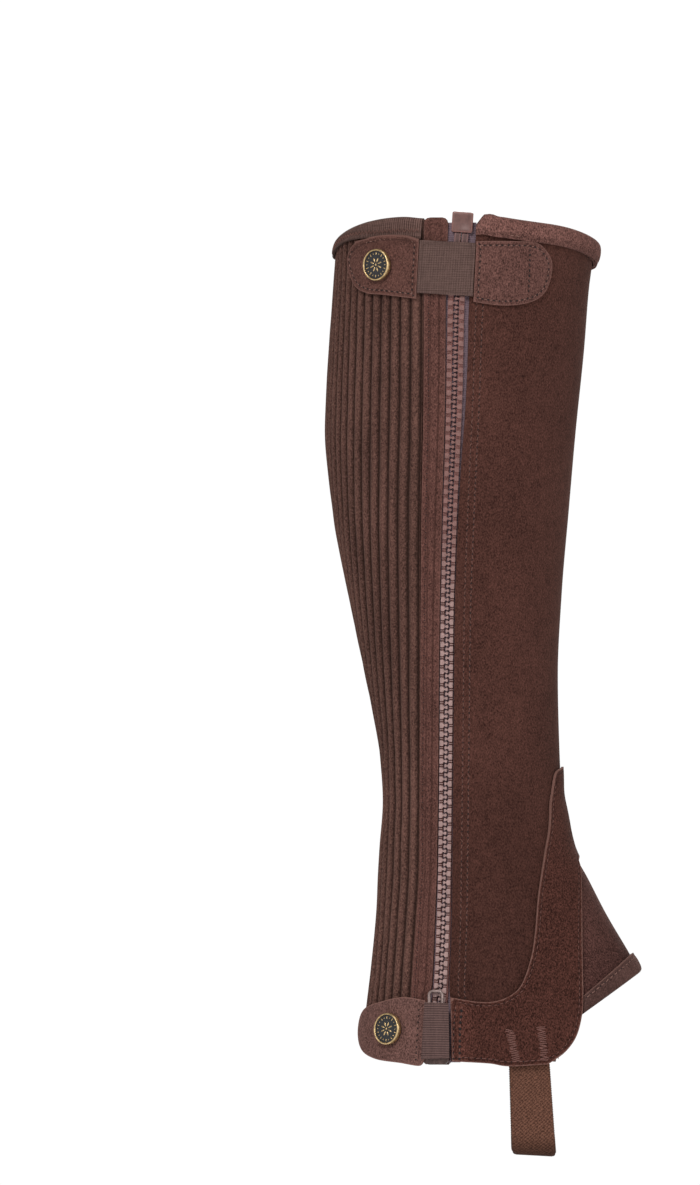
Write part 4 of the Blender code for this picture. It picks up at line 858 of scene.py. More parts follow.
class Sewing:
    """Collects the stitches of one piece and makes one mesh of them."""

    def __init__(self, name, seed):
        self.name, self.points, self.faces, self.kinds, self.count = name, [], [], [], 0
        self.random = random.Random(seed)

    def add(self, template, place, along, out, kind):
        along = along - out * float(np.dot(along, out))
        along = along / np.linalg.norm(along)
        side = np.cross(out, along)
        points, faces = template
        self.points.append(points @ np.array([along, side, out]) + place)
        self.faces += [tuple(i + self.count for i in face) for face in faces]
        self.kinds += [kind] * len(faces)
        self.count += len(points)

    def row(
        self, path, lift, pitch=2.9, length=2.0, radius=0.26, hole=0.34, zigzag=0.0, uneven=0.1, kind=0
    ):
        """A row of stitches along (angle, z) points, at this lift."""
        path = np.array(path, float)
        lifts = lift(path) if callable(lift) else np.full(len(path), float(lift))
        points = lifted(path[:, 0], path[:, 1], lifts)
        outs = normals(path[:, 0], path[:, 1])
        run = run_along(points)
        thread_shape = capsule(length, radius)
        hole_shape = dot(hole, 0.05)

        def at(distance):
            place = np.array([np.interp(distance, run, points[:, i]) for i in range(3)])
            out = np.array([np.interp(distance, run, outs[:, i]) for i in range(3)])
            return place, out / np.linalg.norm(out)

        count = max(1, int(run[-1] / pitch))
        pitch = run[-1] / count
        for index in range(count):
            middle = (index + 0.5) * pitch + self.random.uniform(-0.1, 0.1)
            place, out = at(middle)
            along = at(min(middle + 0.5, run[-1]))[0] - at(max(middle - 0.5, 0.0))[0]
            along = along / np.linalg.norm(along)
            side = np.cross(out, along)
            lean = self.random.uniform(-1.5, 1.5) * uneven
            if zigzag:
                lean += zigzag if index % 2 else -zigzag
            turned = along * math.cos(lean) + side * math.sin(lean)
            sunk = self.random.uniform(-radius * 2.0, radius * 0.5) * uneven
            self.add(thread_shape, place + out * (radius * 0.25 + sunk), turned, out, kind)
            # a near-black disc at each needle hole: painted shade
            if hole:
                place, out = at(max(middle - pitch / 2, 0.0))
                self.add(hole_shape, place + out * 0.01, along, out, 1)

    def satin(self, low, high, lift, width, pitch=0.85):
        """A bar tack: threads laid across a line that runs from one (x, z) to another."""
        steps = max(2, int(math.dist(low, high) / pitch))
        for index in range(steps + 1):
            share = index / steps
            x = low[0] + (high[0] - low[0]) * share + self.random.uniform(-0.25, 0.25)
            z = low[1] + (high[1] - low[1]) * share
            angle = angle_at(x, z)
            place = lifted(angle, z, lift)
            out = normals(angle, z)
            across = lifted(angle + 0.5, z, lift) - place
            up = np.array([0.0, 0.0, 1.0])
            lean = self.random.uniform(-0.3, 0.3)
            across = across / np.linalg.norm(across) * math.cos(lean) + up * math.sin(lean)
            length = width * self.random.uniform(0.75, 1.05)
            self.add(capsule(length, 0.32), place + out * 0.1, across, out, 0)

    def make(self, paint="thread"):
        mesh = mesh_from(self.name, np.vstack(self.points), self.faces, self.kinds)
        piece = new_piece(self.name, mesh, paint, "hole")
        return finish_piece(piece, None)


def inset_path(outline, inset, closed=False, step=1.0):
    """A path that runs this far inside an outline, with the inside on its left if inset is positive."""
    about = middle_of(outline)
    places = laid_out(outline, about)
    if closed:
        places = np.vstack([places, places[:1]])
    run = run_along(places)
    count = max(3, int(run[-1] / step))
    samples = np.linspace(0.0, run[-1], count)
    line = np.stack([np.interp(samples, run, places[:, i]) for i in range(2)], axis=1)
    if closed:
        before, after = np.roll(line[:-1], 3, axis=0), np.roll(line[:-1], -3, axis=0)
        along = np.vstack([after - before, (after - before)[:1]])
    else:
        padded = np.vstack([line[:1]] * 2 + [line] + [line[-1:]] * 2)
        along = padded[4:] - padded[:-4]
    along = along / np.maximum(np.linalg.norm(along, axis=1, keepdims=True), 1e-9)
    line = line + np.stack([-along[:, 1], along[:, 0]], axis=1) * inset
    return taken_up(line, about)


def turned_in(outline):
    """+1 if the outline's inside is on its left."""
    places = laid_out(outline, middle_of(outline))
    x, y = places[:, 0], places[:, 1]
    return 1.0 if (x * np.roll(y, -1) - np.roll(x, -1) * y).sum() > 0 else -1.0


# ---------------------------------------------------------------- panels

def zip_row(levels, column, edge=None):
    """A stitch row beside the zip; edge is the panel's distance from its middle, if not the table's."""
    path = []
    for z in levels:
        x = read(ZIP, z, 1) + (edge or read(ZIP, z, 2)) + read(ZIP_ROWS, z, column)
        path.append((angle_at(x, z), z))
    return path


def make_leg_panel():
    edge_top = meeting(lambda z: zip_edge(z, 1), rim_z) - RIM_OVER
    zip_side = [(zip_edge(z, 1) + read(PANEL_EASE, z), z) for z in heights(OUTER_FOOT, edge_top - 6.0)]
    seam_top = meeting(inner_seam, rim_z) - RIM_OVER
    seam_foot = meeting(inner_seam, hem_z) + HEM_OVER
    far_side = [(360.0 + inner_seam(z) - seam_turn(z), z) for z in heights(seam_foot, seam_top)][::-1]
    top = [(a, rim_z(a) - RIM_OVER) for a in stations(zip_side[-1][0] + 2.6, far_side[0][0])[:-1]]
    inner_notch = on_side(spline(PANEL_NOTCH_INNER), inner=True)
    foot_inner = [(a, hem_z(a) + HEM_OVER) for a in stations(inner_notch[-1][0], far_side[-1][0])[1:-1]][::-1]
    outer_notch = on_side(spline(PANEL_NOTCH_OUTER))
    foot_outer = [(a, OUTER_FOOT) for a in stations(zip_side[0][0], outer_notch[0][0])[1:-1]][::-1]
    outline = zip_side + top + far_side + foot_inner + inner_notch[::-1]
    outline += [(180.0, NOTCH_TOP)] + outer_notch[::-1] + foot_outer
    panel = shell(
        "suede_leg_panel", "leg_panel", outline, 0.0, -SUEDE, "suede_body", "lining", du=2.25
    )

    sewing = Sewing("stitching_beside_zip", 1)
    for column in (1, 2):
        path = zip_row(heights(ROWS_FOOT, 10.0, 2.0), column)
        sewing.row(path, 0.0, length=1.9, uneven=0.4, hole=0.42 if column == 2 else 0.34)
    rows = sewing.make()
    state_sheet(panel, [], [rows])


def make_zip_strip():
    top = rim_z(80.0) - LAY_GAP
    rear = [(rib_seam(z) + seam_turn(z), z) for z in heights(OUTER_FOOT, top - STRIP_CORNER)]
    front = [(zip_edge(z, -1), z) for z in heights(OUTER_FOOT, top - STRIP_CORNER)][::-1]
    for turn in (30.0, 60.0, 90.0):
        aside = STRIP_CORNER * (1 - math.cos(math.radians(turn)))
        down = STRIP_CORNER * (1 - math.sin(math.radians(turn)))
        rear.append((rib_seam(top) + seam_turn(top) + aside, top - down * 0.8))
        front.insert(0, (zip_edge(top, -1) - aside, top - down))
    strip = shell(
        "suede_zip_strip", "zip_strip", rear + front, 0.0, -SUEDE, "suede_strip", "lining", du=1.5,
        bevel=0.5,
    )
    sewing = Sewing("stitching_on_zip_strip", 2)
    path = [(angle_at(read(ZIP, z, 1) - read(ZIP, z, 2) - 3.2, z), z) for z in heights(ROWS_FOOT, 9.0, 2.0)]
    sewing.row(path, 0.0, length=2.1, radius=0.2, hole=0.0)
    path = [(rib_seam(z) + 2.6, z) for z in heights(ROWS_FOOT, 9.0, 2.0)]
    sewing.row(path, 0.0, length=1.7, radius=0.2)
    state_sheet(strip, [], [sewing.make("thread_dark")])


@lru_cache(maxsize=None)
def rib_table(level):
    z = level * 0.25
    start = rib_seam(z)
    steps = np.arange(0.0, 132.0)
    points = form(start - steps, z)
    return start, steps, run_along(points)


def angle_after(distance, z):
    start, steps, lengths = rib_table(round(z * 4))
    return start - float(np.interp(distance, lengths, steps))


def distance_to(angle, z):
    start, steps, lengths = rib_table(round(z * 4))
    return float(np.interp(start - angle, steps, lengths))


def make_rib_panel():
    seam_low, seam_high = hem_z(50.0) + HEM_OVER, meeting(rib_seam, rim_z) - RIM_OVER
    far_low, far_high = meeting(inner_seam, hem_z) + HEM_OVER, meeting(inner_seam, rim_z) - RIM_OVER
    seam_side = [(SEAM, z) for z in heights(seam_low, seam_high)]
    far_side = [
        (distance_to(inner_seam(z) + seam_turn(z), z), z) for z in heights(far_low, far_high)
    ][::-1]
    middle_top = [(distance_to(a, far_high), rim_z(a) - RIM_OVER) for a in range(66, -24, -3)]
    middle_foot = [(distance_to(a, far_low), hem_z(a) + HEM_OVER) for a in range(-18, 48, 3)]
    outline = seam_side + middle_top + far_side + middle_foot
    widest = max(u for u, _ in outline)
    shares = (0.0, 0.06, 0.13, 0.22, 0.35, 0.5, 0.65, 0.78, 0.87, 0.94)
    rib_lines = []
    rib = 0
    while FIRST_RIB_START + rib * RIB_PITCH < widest:
        rib_lines += [FIRST_RIB_START + (rib + share) * RIB_PITCH for share in shares]
        rib += 1
    flat = cut_pattern(outline, rib_lines, lines([v for _, v in outline], 3.0))
    flat.verts.index_update()
    places = np.array([(vert.co.x, vert.co.y) for vert in flat.verts])
    faces = [[vert.index for vert in face.verts] for face in flat.faces]
    rim = [[vert.index for vert in edge.verts] for edge in flat.edges if edge.is_boundary]
    flat.free()
    angles = np.array([angle_after(d, z) for d, z in places])
    lifts, ribs = [], []
    for (distance, z), angle in zip(places, angles):
        if distance < FIRST_RIB_START:
            lifts.append(RIB_FLAT)
            ribs.append(0.85)
            continue
        if angle < strip_edge(z, 2) + 1.0:
            lifts.append(RIB_FLAT)
            ribs.append(0.5)
            continue
        number, phase = divmod((distance - FIRST_RIB_START) / RIB_PITCH, 1.0)
        wander = 0.5 * noise.noise(Vector((number * 3.7, z * 0.025, 1.0)))
        wander += 0.2 * noise.noise(Vector((number * 3.7, z * 0.11, 4.0)))
        rise = math.sin(math.pi * min(max(phase + wander * phase * (1 - phase), 0.0), 1.0)) ** 0.8
        rise *= 1.0 + 0.16 * noise.noise(Vector((number * 5.1, z * 0.04, 7.0)))
        lifts.append(RIB_GROOVE + (RIB_CREST - RIB_GROOVE) * rise)
        ribs.append(min(rise, 1.0))
    outside = lifted(angles, places[:, 1], lifts)
    inside = lifted(angles, places[:, 1], RIB_INSIDE)
    count = len(places)
    walls = faces + [[i + count for i in face[::-1]] for face in faces]
    walls += [[a, b, b + count, a + count] for a, b in rim]
    kinds = [0] * len(faces) + [1] * len(faces) + [0] * len(rim)
    mesh = mesh_from("ribbed_back", np.vstack([outside, inside]), walls, kinds)
    # rib: how high each point stands on its cord; the rib paint turns low values into painted shade in the
    # valleys
    put_values(mesh, "rib", ribs + [1.0] * count)
    put_uv(mesh, np.vstack([places, places]))
    area = outward(mesh) / 2
    piece = new_piece("ribbed_back", mesh, "rib", "lining")
    finish_piece(piece, "rib_panel")
    size = np.ptp(np.array(outline), axis=0) * MM
    piece["cut"] = [float(size[0]), float(size[1]), area * RIB_SHARE]
    state_sheet(piece, [])


def make_inner_strip():
    sides = []
    for column in (1, 2):
        top = meeting(lambda z: strip_edge(z, column), rim_z) - RIM_DEPTH - LAY_GAP
        foot = meeting(lambda z: strip_edge(z, column), hem_z) + HEM_DEPTH + LAY_GAP
        sides.append([(360.0 + strip_edge(z, column), z) for z in heights(foot, top)])
    front, rear = sides
    top = [(a, rim_z(a) - RIM_DEPTH - LAY_GAP) for a in stations(front[-1][0], rear[-1][0])[1:-1]]
    foot = [(a, hem_z(a) + HEM_DEPTH + LAY_GAP) for a in stations(front[0][0], rear[0][0])[1:-1]][::-1]
    strip = shell(
        "suede_inner_strip", "inner_strip", front + top + rear[::-1] + foot, LAY_GAP, TRIM,
        "suede_inner_strip", du=1.5,
    )
    sewing = Sewing("stitching_on_inner_strip", 3)
    for side, inset in ((front, 1.0), (rear, -1.0)):
        for distance in (2.0, 4.0):
            sewing.row(inset_path(side, -inset * distance), LAY_GAP + TRIM, radius=0.22)
    state_sheet(strip, ["suede_leg_panel", "ribbed_back"], [sewing.make()])


def make_overlays():
    rear = on_side(spline(OVERLAY_REAR))
    foot = on_side(spline(OVERLAY_FOOT))
    front = on_side(spline(OVERLAY_FRONT))
    centre = 180.0 - seam_turn(NOTCH_TOP)
    tip = [(centre, z) for z in heights(NOTCH_TOP - 2.5, OVERLAY_TOP)]
    outline = rear + foot + front[1:] + tip
    overlay = shell(
        "ankle_overlay", "ankle_overlay_outer", outline, LAY_GAP, TRIM, "suede_overlay", du=1.5,
        dv=3.0,
    )
    sewing = Sewing("stitching_on_ankle_overlay", 4)
    top = LAY_GAP + TRIM
    inside = turned_in(outline)
    sewing.row(inset_path(rear[12:-2], inside * 1.8), top, radius=0.17, length=1.6, hole=0.26)
    sewing.row(inset_path(foot[1:], inside * 2.2), top, radius=0.2)
    sewing.row(inset_path(front[:-6], inside * 1.9), top, radius=0.17, length=1.6, hole=0.26)
    for column in (1, 2):
        path = zip_row(heights(-388.0, -361.5, 2.0), column, OVERLAY_SETBACK)
        sewing.row(path, top, pitch=2.9, length=1.2, hole=0.75 if column == 2 else 0.5, uneven=0.4)
    sewing.satin((23.2, -374.0), (26.2, -389.0), top, 4.6)
    sewing.satin((38.4, -372.5), (40.0, -388.5), top, 4.4)
    state_sheet(overlay, ["suede_leg_panel"], [sewing.make("thread_red")])

    inner_rear = on_side(spline(INNER_OVERLAY_REAR), inner=True)
    inner_front = on_side(spline(INNER_OVERLAY_FRONT), inner=True)
    centre = 180.0 + seam_turn(NOTCH_TOP)
    tip = [(centre, z) for z in heights(NOTCH_TOP - 3.5, OVERLAY_TOP)][::-1]
    binding_front = angle_at(*BINDING_FRONT, inner=True)
    step_angle = binding_front - 2 * seam_turn(OUTER_FOOT)
    clear = HEM_DEPTH + LAY_GAP
    low = [(step_angle, hem_z(step_angle) + SIDE_FOOT), (step_angle, hem_z(step_angle) + clear)]
    rear_foot = inner_rear[0][0]
    low += [(a, hem_z(a) + clear) for a in stations(binding_front, rear_foot)[1:-1]]
    low += [(rear_foot, hem_z(rear_foot) + clear)]
    inner_rear = [(a, z) for a, z in inner_rear if z > hem_z(a) + clear + 2.0]
    outline = tip + inner_front + low + inner_rear
    overlay = shell(
        "ankle_overlay_inside", "ankle_overlay_inner", outline, LAY_GAP, TRIM, "suede_dark",
        du=1.5, dv=3.0,
    )
    sewing = Sewing("stitching_on_inner_overlay", 5)
    inside = turned_in(outline)
    sewing.row(inset_path(inner_rear, inside * 1.8), top, radius=0.2)
    sewing.row(inset_path(inner_front[4:], inside * 1.9), top, radius=0.2)
    state_sheet(overlay, ["suede_leg_panel"], [sewing.make("thread_dark")])


def make_grip_patch():
    outline = on_side(spline(GRIP_PATCH, steps=5, closed=True), inner=True)
    patch = shell(
        "grip_patch_suede", "grip_patch", outline, LAY_GAP, TRIM, "suede_patch", dv=3.0
    )
    sewing = Sewing("stitching_on_grip_patch", 6)
    inside = turned_in(outline)
    for distance in (2.6, 4.6):
        sewing.row(inset_path(outline, inside * distance, closed=True), LAY_GAP + TRIM, radius=0.22)
    state_sheet(patch, ["suede_leg_panel"], [sewing.make("thread")])


def gusset_hem_z(angle):
    z = GUSSET_CORNER[1]
    for _ in range(12):
        z = GUSSET_CORNER[1] - GUSSET_SLOPE * (GUSSET_CORNER[0] - float(form(angle, z)[0]))
    return z


def gusset_hem(x):
    return GUSSET_CORNER[1] - GUSSET_SLOPE * (GUSSET_CORNER[0] - x)


# ---------------------------------------------------------------- bindings

def rounded(points, steps=6):
    """A smooth curve through two-number points."""
    return [tuple(p)[:2] for p in spline([(*point, 0.0) for point in points], steps)]


def binding(name, angles, edge, outside, inside, leaf, depth, over, bulge, up, paint, lean=None):
    """A folded tape round an edge: a loft through its rounded section, dented along its stitch row."""
    middle = (outside + inside) / 2
    rings, marks, edges, depths = [], [], [], []
    for a in angles:
        base = edge(a)
        deep = depth(a) if callable(depth) else depth
        depths.append(deep)
        roll = bulge(a) if callable(bulge) else bulge
        roll *= 1.0 + 0.5 * noise.noise(Vector((a * 0.07, deep, 3.0)))
        outer = [
            (outside + leaf + roll * 0.35, deep), (outside + leaf + roll, deep * 0.5),
            (outside + leaf * 0.8 + roll * 0.75, -over * 0.25), (middle, -over),
            (inside - leaf * 0.8, -over * 0.25), (inside - leaf, deep * 0.5), (inside - leaf, deep),
        ]
        profile = [(outside, deep)] + rounded(outer)
        profile += [(inside, deep), (inside, deep * 0.5), (inside, -FOLD_GAP * 0.6)]
        profile += [(middle, -FOLD_GAP), (outside, -FOLD_GAP * 0.6), (outside, deep * 0.5)]
        edges.extend(deep - down if lift > middle else 9.0 for lift, down in profile)
        pucker = 0.22 * (1.0 + 0.6 * math.sin(arc(a, base) * 2 * math.pi / 2.9))
        ring = []
        for index, (lift, down) in enumerate(profile):
            if 0 < index < 22 and lift > middle:
                lift -= pucker * math.exp(-(((down - deep + 1.7) / 0.7) ** 2))
            ring.append((a + (lean(a, down) if lean else 0.0), base - up * down, lift))
        rings.append(ring)
        marks.append(arc(a, base))
    flat = np.array(rings)
    points = lifted(flat[..., 0], flat[..., 1], flat[..., 2])
    count = len(profile)
    faces = [cap(0, count, True), cap(len(rings) * count - count, count)]
    faces += ring_faces(len(rings), count, turned=True)
    mesh = mesh_from(name, points.reshape(-1, 3), faces)
    across = run_along(np.array(profile))
    put_uv(mesh, np.column_stack([np.repeat(marks, count), np.tile(across, len(rings))]))
    put_values(mesh, "edge", edges)
    outward(mesh)
    mesh.set_sharp_from_angle(angle=math.radians(50))
    piece = new_piece(name, mesh, paint)
    reach = abs(marks[-1] - marks[0]) * MM
    width = (2 * float(np.mean(depths)) + 2 * over + leaf) * MM
    piece["cut"] = [width, reach, width * reach]
    return piece


def make_bindings():
    front_start, rear_end = zip_edge(20.0, 1) - 0.2, 360.0 + strip_edge(5.0, 2)
    rib_start, rib_end = strip_edge(5.0, 2) + 0.5, rib_seam(15.0) - 3 * seam_turn(15.0)
    hem_front, hem_rear = angle_at(*BINDING_FRONT, inner=True), 360.0 + strip_edge(-375.0, 2)
    rib_hem_start, rib_hem_end = strip_edge(-375.0, 2) + 0.6, rib_seam(-384.0) - 3 * seam_turn(-384.0)
    within = RIB_INSIDE - FOLD_GAP

    def flare(angle):
        return RIM_BULGE + RIM_FLARE * max(0.0, -math.cos(math.radians(angle)))

    def chamfer(angle, down):
        share = max(0.0, 1.0 - (down + RIM_OVER) / RIM_END_DEPTH)
        return RIM_END_SLANT * share * math.exp(-(((angle - front_start) / RIM_END_REACH) ** 2))

    def top_line(angle):
        dips = sum(depth * math.exp(-(((angle - a) / reach) ** 2)) for a, reach, depth in RIM_DIPS)
        return rim_z(angle) - RIM_OVER - dips

    def elastic_line(angle):
        dip = RIB_RIM_DIP * math.exp(-(((angle - rib_end) / RIB_RIM_DIP_REACH) ** 2))
        return rim_z(angle) - RIM_OVER - dip

    def narrower(angle):
        return RIB_RIM_PULL * math.exp(-((angle / RIB_RIM_PULL_REACH) ** 4))

    def foot_line(angle):
        return hem_z(angle) + HEM_OVER

    def path(start, end, height):
        return [(a, height(a)) for a in stations(start, end, 1.0)]

    def bind(name, node, ends, edge, depth, bulge, paint, lean=None):
        soft = paint == "elastic_rim"
        over, up = (HEM_OVER, -1) if edge is foot_line else (RIM_OVER, 1)
        outside, leaf = (RIB_TOP + FOLD_GAP, RIB_TRIM) if soft else (LAY_GAP, TRIM)
        piece = binding(
            name, stations(*ends), edge, outside, within, leaf, depth, over, bulge, up, paint, lean
        )
        return finish_piece(piece, node)

    rim = bind(
        "rolled_rim", "rim_binding", (front_start, rear_end), top_line, RIM_DEPTH - RIM_OVER, flare,
        "suede_rim", chamfer,
    )
    sewing = Sewing("stitching_on_rim", 7)
    row = path(front_start + 2, rear_end - 1, lambda a: rim_z(a) - (RIM_DEPTH - 1.5))
    sewing.row(row, LAY_GAP + TRIM + 0.3, radius=0.24, length=1.9, uneven=0.3)
    row = path(front_start + 2, rear_end - 1, lambda a: rim_z(a) - RIM_DEPTH + 1.5)
    sewing.row(row, within - TRIM - 0.1, radius=0.26, hole=0.0)
    state_sheet(rim, ["suede_leg_panel"], [sewing.make("thread_light")])

    rim = bind(
        "elastic_rim", "rib_rim", (rib_start, rib_end), elastic_line,
        lambda a: RIM_DEPTH - RIM_OVER - narrower(a), 0.2, "elastic_rim",
    )
    sewing = Sewing("stitching_on_elastic_rim", 8)
    row = path(rib_start + 1, rib_end - 1, lambda a: rim_z(a) - RIM_DEPTH + 3.2 + narrower(a) * 0.8)
    sewing.row(row, RIB_TOP + FOLD_GAP + RIB_TRIM + 0.2, 1.25, 2.3, 0.2, hole=0.0, zigzag=1.05)
    state_sheet(rim, ["ribbed_back"], [sewing.make("thread")])

    hem = bind(
        "hem_roll", "hem_binding", (hem_front, hem_rear), foot_line, HEM_DEPTH - HEM_OVER, 0.6, "suede_hem"
    )
    sewing = Sewing("stitching_on_hem", 9)
    row = path(hem_front + 1, hem_rear - 1, lambda a: hem_z(a) + HEM_DEPTH - 1.4)
    sewing.row(row, LAY_GAP + TRIM + 0.05, radius=0.22)
    state_sheet(hem, ["suede_leg_panel"], [sewing.make("thread")])

    hem = bind(
        "elastic_hem", "rib_hem", (rib_hem_start, rib_hem_end), foot_line, HEM_DEPTH - HEM_OVER, 0.2,
        "elastic_rim",
    )
    sewing = Sewing("stitching_on_elastic_hem", 10)
    row = path(rib_hem_start + 1, rib_hem_end - 1, lambda a: hem_z(a) + HEM_DEPTH - 3.0)
    sewing.row(row, RIB_TOP + FOLD_GAP + RIB_TRIM + 0.15, 1.0, 1.7, 0.15, hole=0.0, zigzag=1.0)
    state_sheet(hem, ["ribbed_back"], [sewing.make("thread")])


def make_gusset():
    turn = GUSSET_GAP_TURN
    ends = (
        angle_at(GUSSET_OUTER_END, gusset_hem(GUSSET_OUTER_END)) + turn,
        angle_at(GUSSET_INNER_END, gusset_hem(GUSSET_INNER_END), inner=True) - turn,
    )
    hem = [(a, gusset_hem_z(a) + HEM_OVER) for a in stations(*ends, 3.0)]
    outer_edge = [(a + turn, z) for a, z in on_side(spline(PANEL_NOTCH_OUTER)) if z > hem[0][1] + 2.0]
    inner_notch = on_side(spline(PANEL_NOTCH_INNER), inner=True)
    inner_edge = [(a - turn, z) for a, z in inner_notch if z > hem[-1][1] + 2.0]
    outline = outer_edge + [(180.0, NOTCH_TOP - 1.4)] + inner_edge + hem[::-1]
    gusset = shell(
        "stretch_gusset", "instep_gusset", outline, GUSSET_LIFT, -STRETCH, "gusset", "lining",
        dv=3.0, bevel=0.0,
    )
    state_sheet(gusset, ["suede_leg_panel"])

    leans = []
    for x, inner in ((GUSSET_OUTER_END + 3.8, False), (GUSSET_INNER_END + 4.3, True)):
        z = gusset_hem(x)
        end = angle_at(x, z, inner)
        leans.append((end, (angle_at(x, z + 10.0, inner) - end) / 10.0))

    def lean(a, down):
        end, slope = leans[0] if a < 180.0 else leans[1]
        return slope * down * ((a - 180.0) / (end - 180.0)) ** 2

    edge = binding(
        "gusset_edge", stations(leans[0][0], leans[1][0]), lambda a: gusset_hem_z(a) + HEM_OVER,
        GUSSET_LIFT + FOLD_GAP, GUSSET_LIFT - STRETCH - FOLD_GAP, TRIM, GUSSET_BINDING_DEPTH, HEM_OVER,
        HEM_BULGE, -1, "gusset_binding", lean,
    )
    finish_piece(edge, "gusset_binding")
    sewing = Sewing("stitching_on_gusset", 11)
    path = []
    for a in stations(leans[0][0] + 1.0, leans[1][0] - 1.0, 1.5):
        down = GUSSET_BINDING_DEPTH - 2.0
        path.append((a + lean(a, down), gusset_hem_z(a) + HEM_OVER + down))
    sewing.row(path, GUSSET_LIFT + FOLD_GAP + TRIM + 0.25, pitch=3.3, length=2.2, radius=0.26)
    state_sheet(edge, ["stretch_gusset"], [sewing.make("thread_light")])


# ---------------------------------------------------------------- straps

def over_rim(angle, z):
    share = (z - (rim_z(angle) - RIM_DEPTH - RIM_RAMP)) / RIM_RAMP
    return RIM_RIDE * min(max(share, 0.0), 1.0)


def over_slider(angle, z):
    x = float(form(angle, z)[0])
    away = abs(x - read(ZIP, SLIDER_TOP - 8.0)) / ARCH_HALF_WIDTH
    return ARCH_RISE * max(0.0, 1.0 - away ** 2) ** 0.7


def strap_band(points):
    """A four-sided outline with enough points along its sides."""
    outline = []
    for start, end in zip(points, points[1:] + points[:1]):
        outline += [
            (start[0] + (end[0] - start[0]) * i / 10, start[1] + (end[1] - start[1]) * i / 10)
            for i in range(10)
        ]
    return on_side(outline)


def make_straps():
    def tab(name, node, outline, lift, paint, raise_by=None):
        return shell(name, node, outline, lift, TAB, paint, None, raise_by, 1.5, 2.0, 0.55)

    def band(name, node, corners, lift, paint, raise_by, du, ends):
        outline = strap_band(corners)
        piece = shell(name, node, outline, lift, ELASTIC, paint, None, raise_by, du, 2.0, 0.3)
        state_sheet(piece, ends)

    def sew(piece, seed, rows, rests_on):
        name = {12: "top_tab", 13: "top_strap_end", 14: "bottom_strap_end"}[seed]
        sewing = Sewing("stitching_on_" + name, seed)
        for path, lift, looks in rows:
            sewing.row(path, lift, **looks)
        state_sheet(piece, [rests_on], [sewing.make("thread_light")])

    def border(outline):
        return inset_path(outline, turned_in(outline) * 2.1, closed=True)

    def rising(path):
        return np.array([TAB_LIFT + TAB + over_rim(a, z) for a, z in path])

    around = dict(length=1.2, hole=0.48, uneven=0.35)
    outline = on_side(spline(TOP_TAB_FIXED))
    piece = tab("top_tab_suede", "top_tab_fixed", outline, LAY_GAP, "suede_tab")
    upright = [(angle_at(32.0 + 0.04 * z, z), z) for z in heights(-13.0, 9.5, 2.0)]
    # kind 1 gives these stitches the near-black hole paint, which is painted shade
    bar = dict(pitch=2.4, length=1.5, radius=0.34, hole=0.0, uneven=0.4, kind=1)
    rows = [(border(outline), LAY_GAP + TAB, around), (upright, LAY_GAP + TAB, bar)]
    sew(piece, 12, rows, "suede_leg_panel")

    outline = on_side(spline(TOP_TAB_END))
    piece = tab("top_strap_end", "top_tab_end", outline, TAB_LIFT, "suede_tab_end", over_rim)
    sew(piece, 13, [(border(outline), rising, around)], "ribbed_back")
    band(
        "top_strap_elastic", "top_elastic", TOP_ELASTIC, TAB_LIFT + 0.3, "elastic_top", over_rim, 1.5,
        ["top_tab_suede", "top_strap_end"],
    )

    outline = on_side(spline(LOW_TAB_CORNER + BOTTOM_TAB_END[1:]))
    piece = tab("bottom_strap_end", "bottom_tab_end", outline, TAB_LIFT + HEM_STEP, "suede_tab_low")
    upright = [(angle_at(-19.6 + 0.06 * (z + 360), z), z) for z in heights(-388.5, -361.0, 2.0)]
    row = (upright, TAB_LIFT + HEM_STEP + TAB, dict(length=1.3, hole=0.45, uneven=0.2))
    sew(piece, 14, [row], "ribbed_back")
    band(
        "bottom_strap_elastic", "bottom_elastic", BOTTOM_ELASTIC, TAB_LIFT + 0.4, "elastic_bottom",
        over_slider, 1.0, ["ankle_overlay", "bottom_strap_end"],
    )


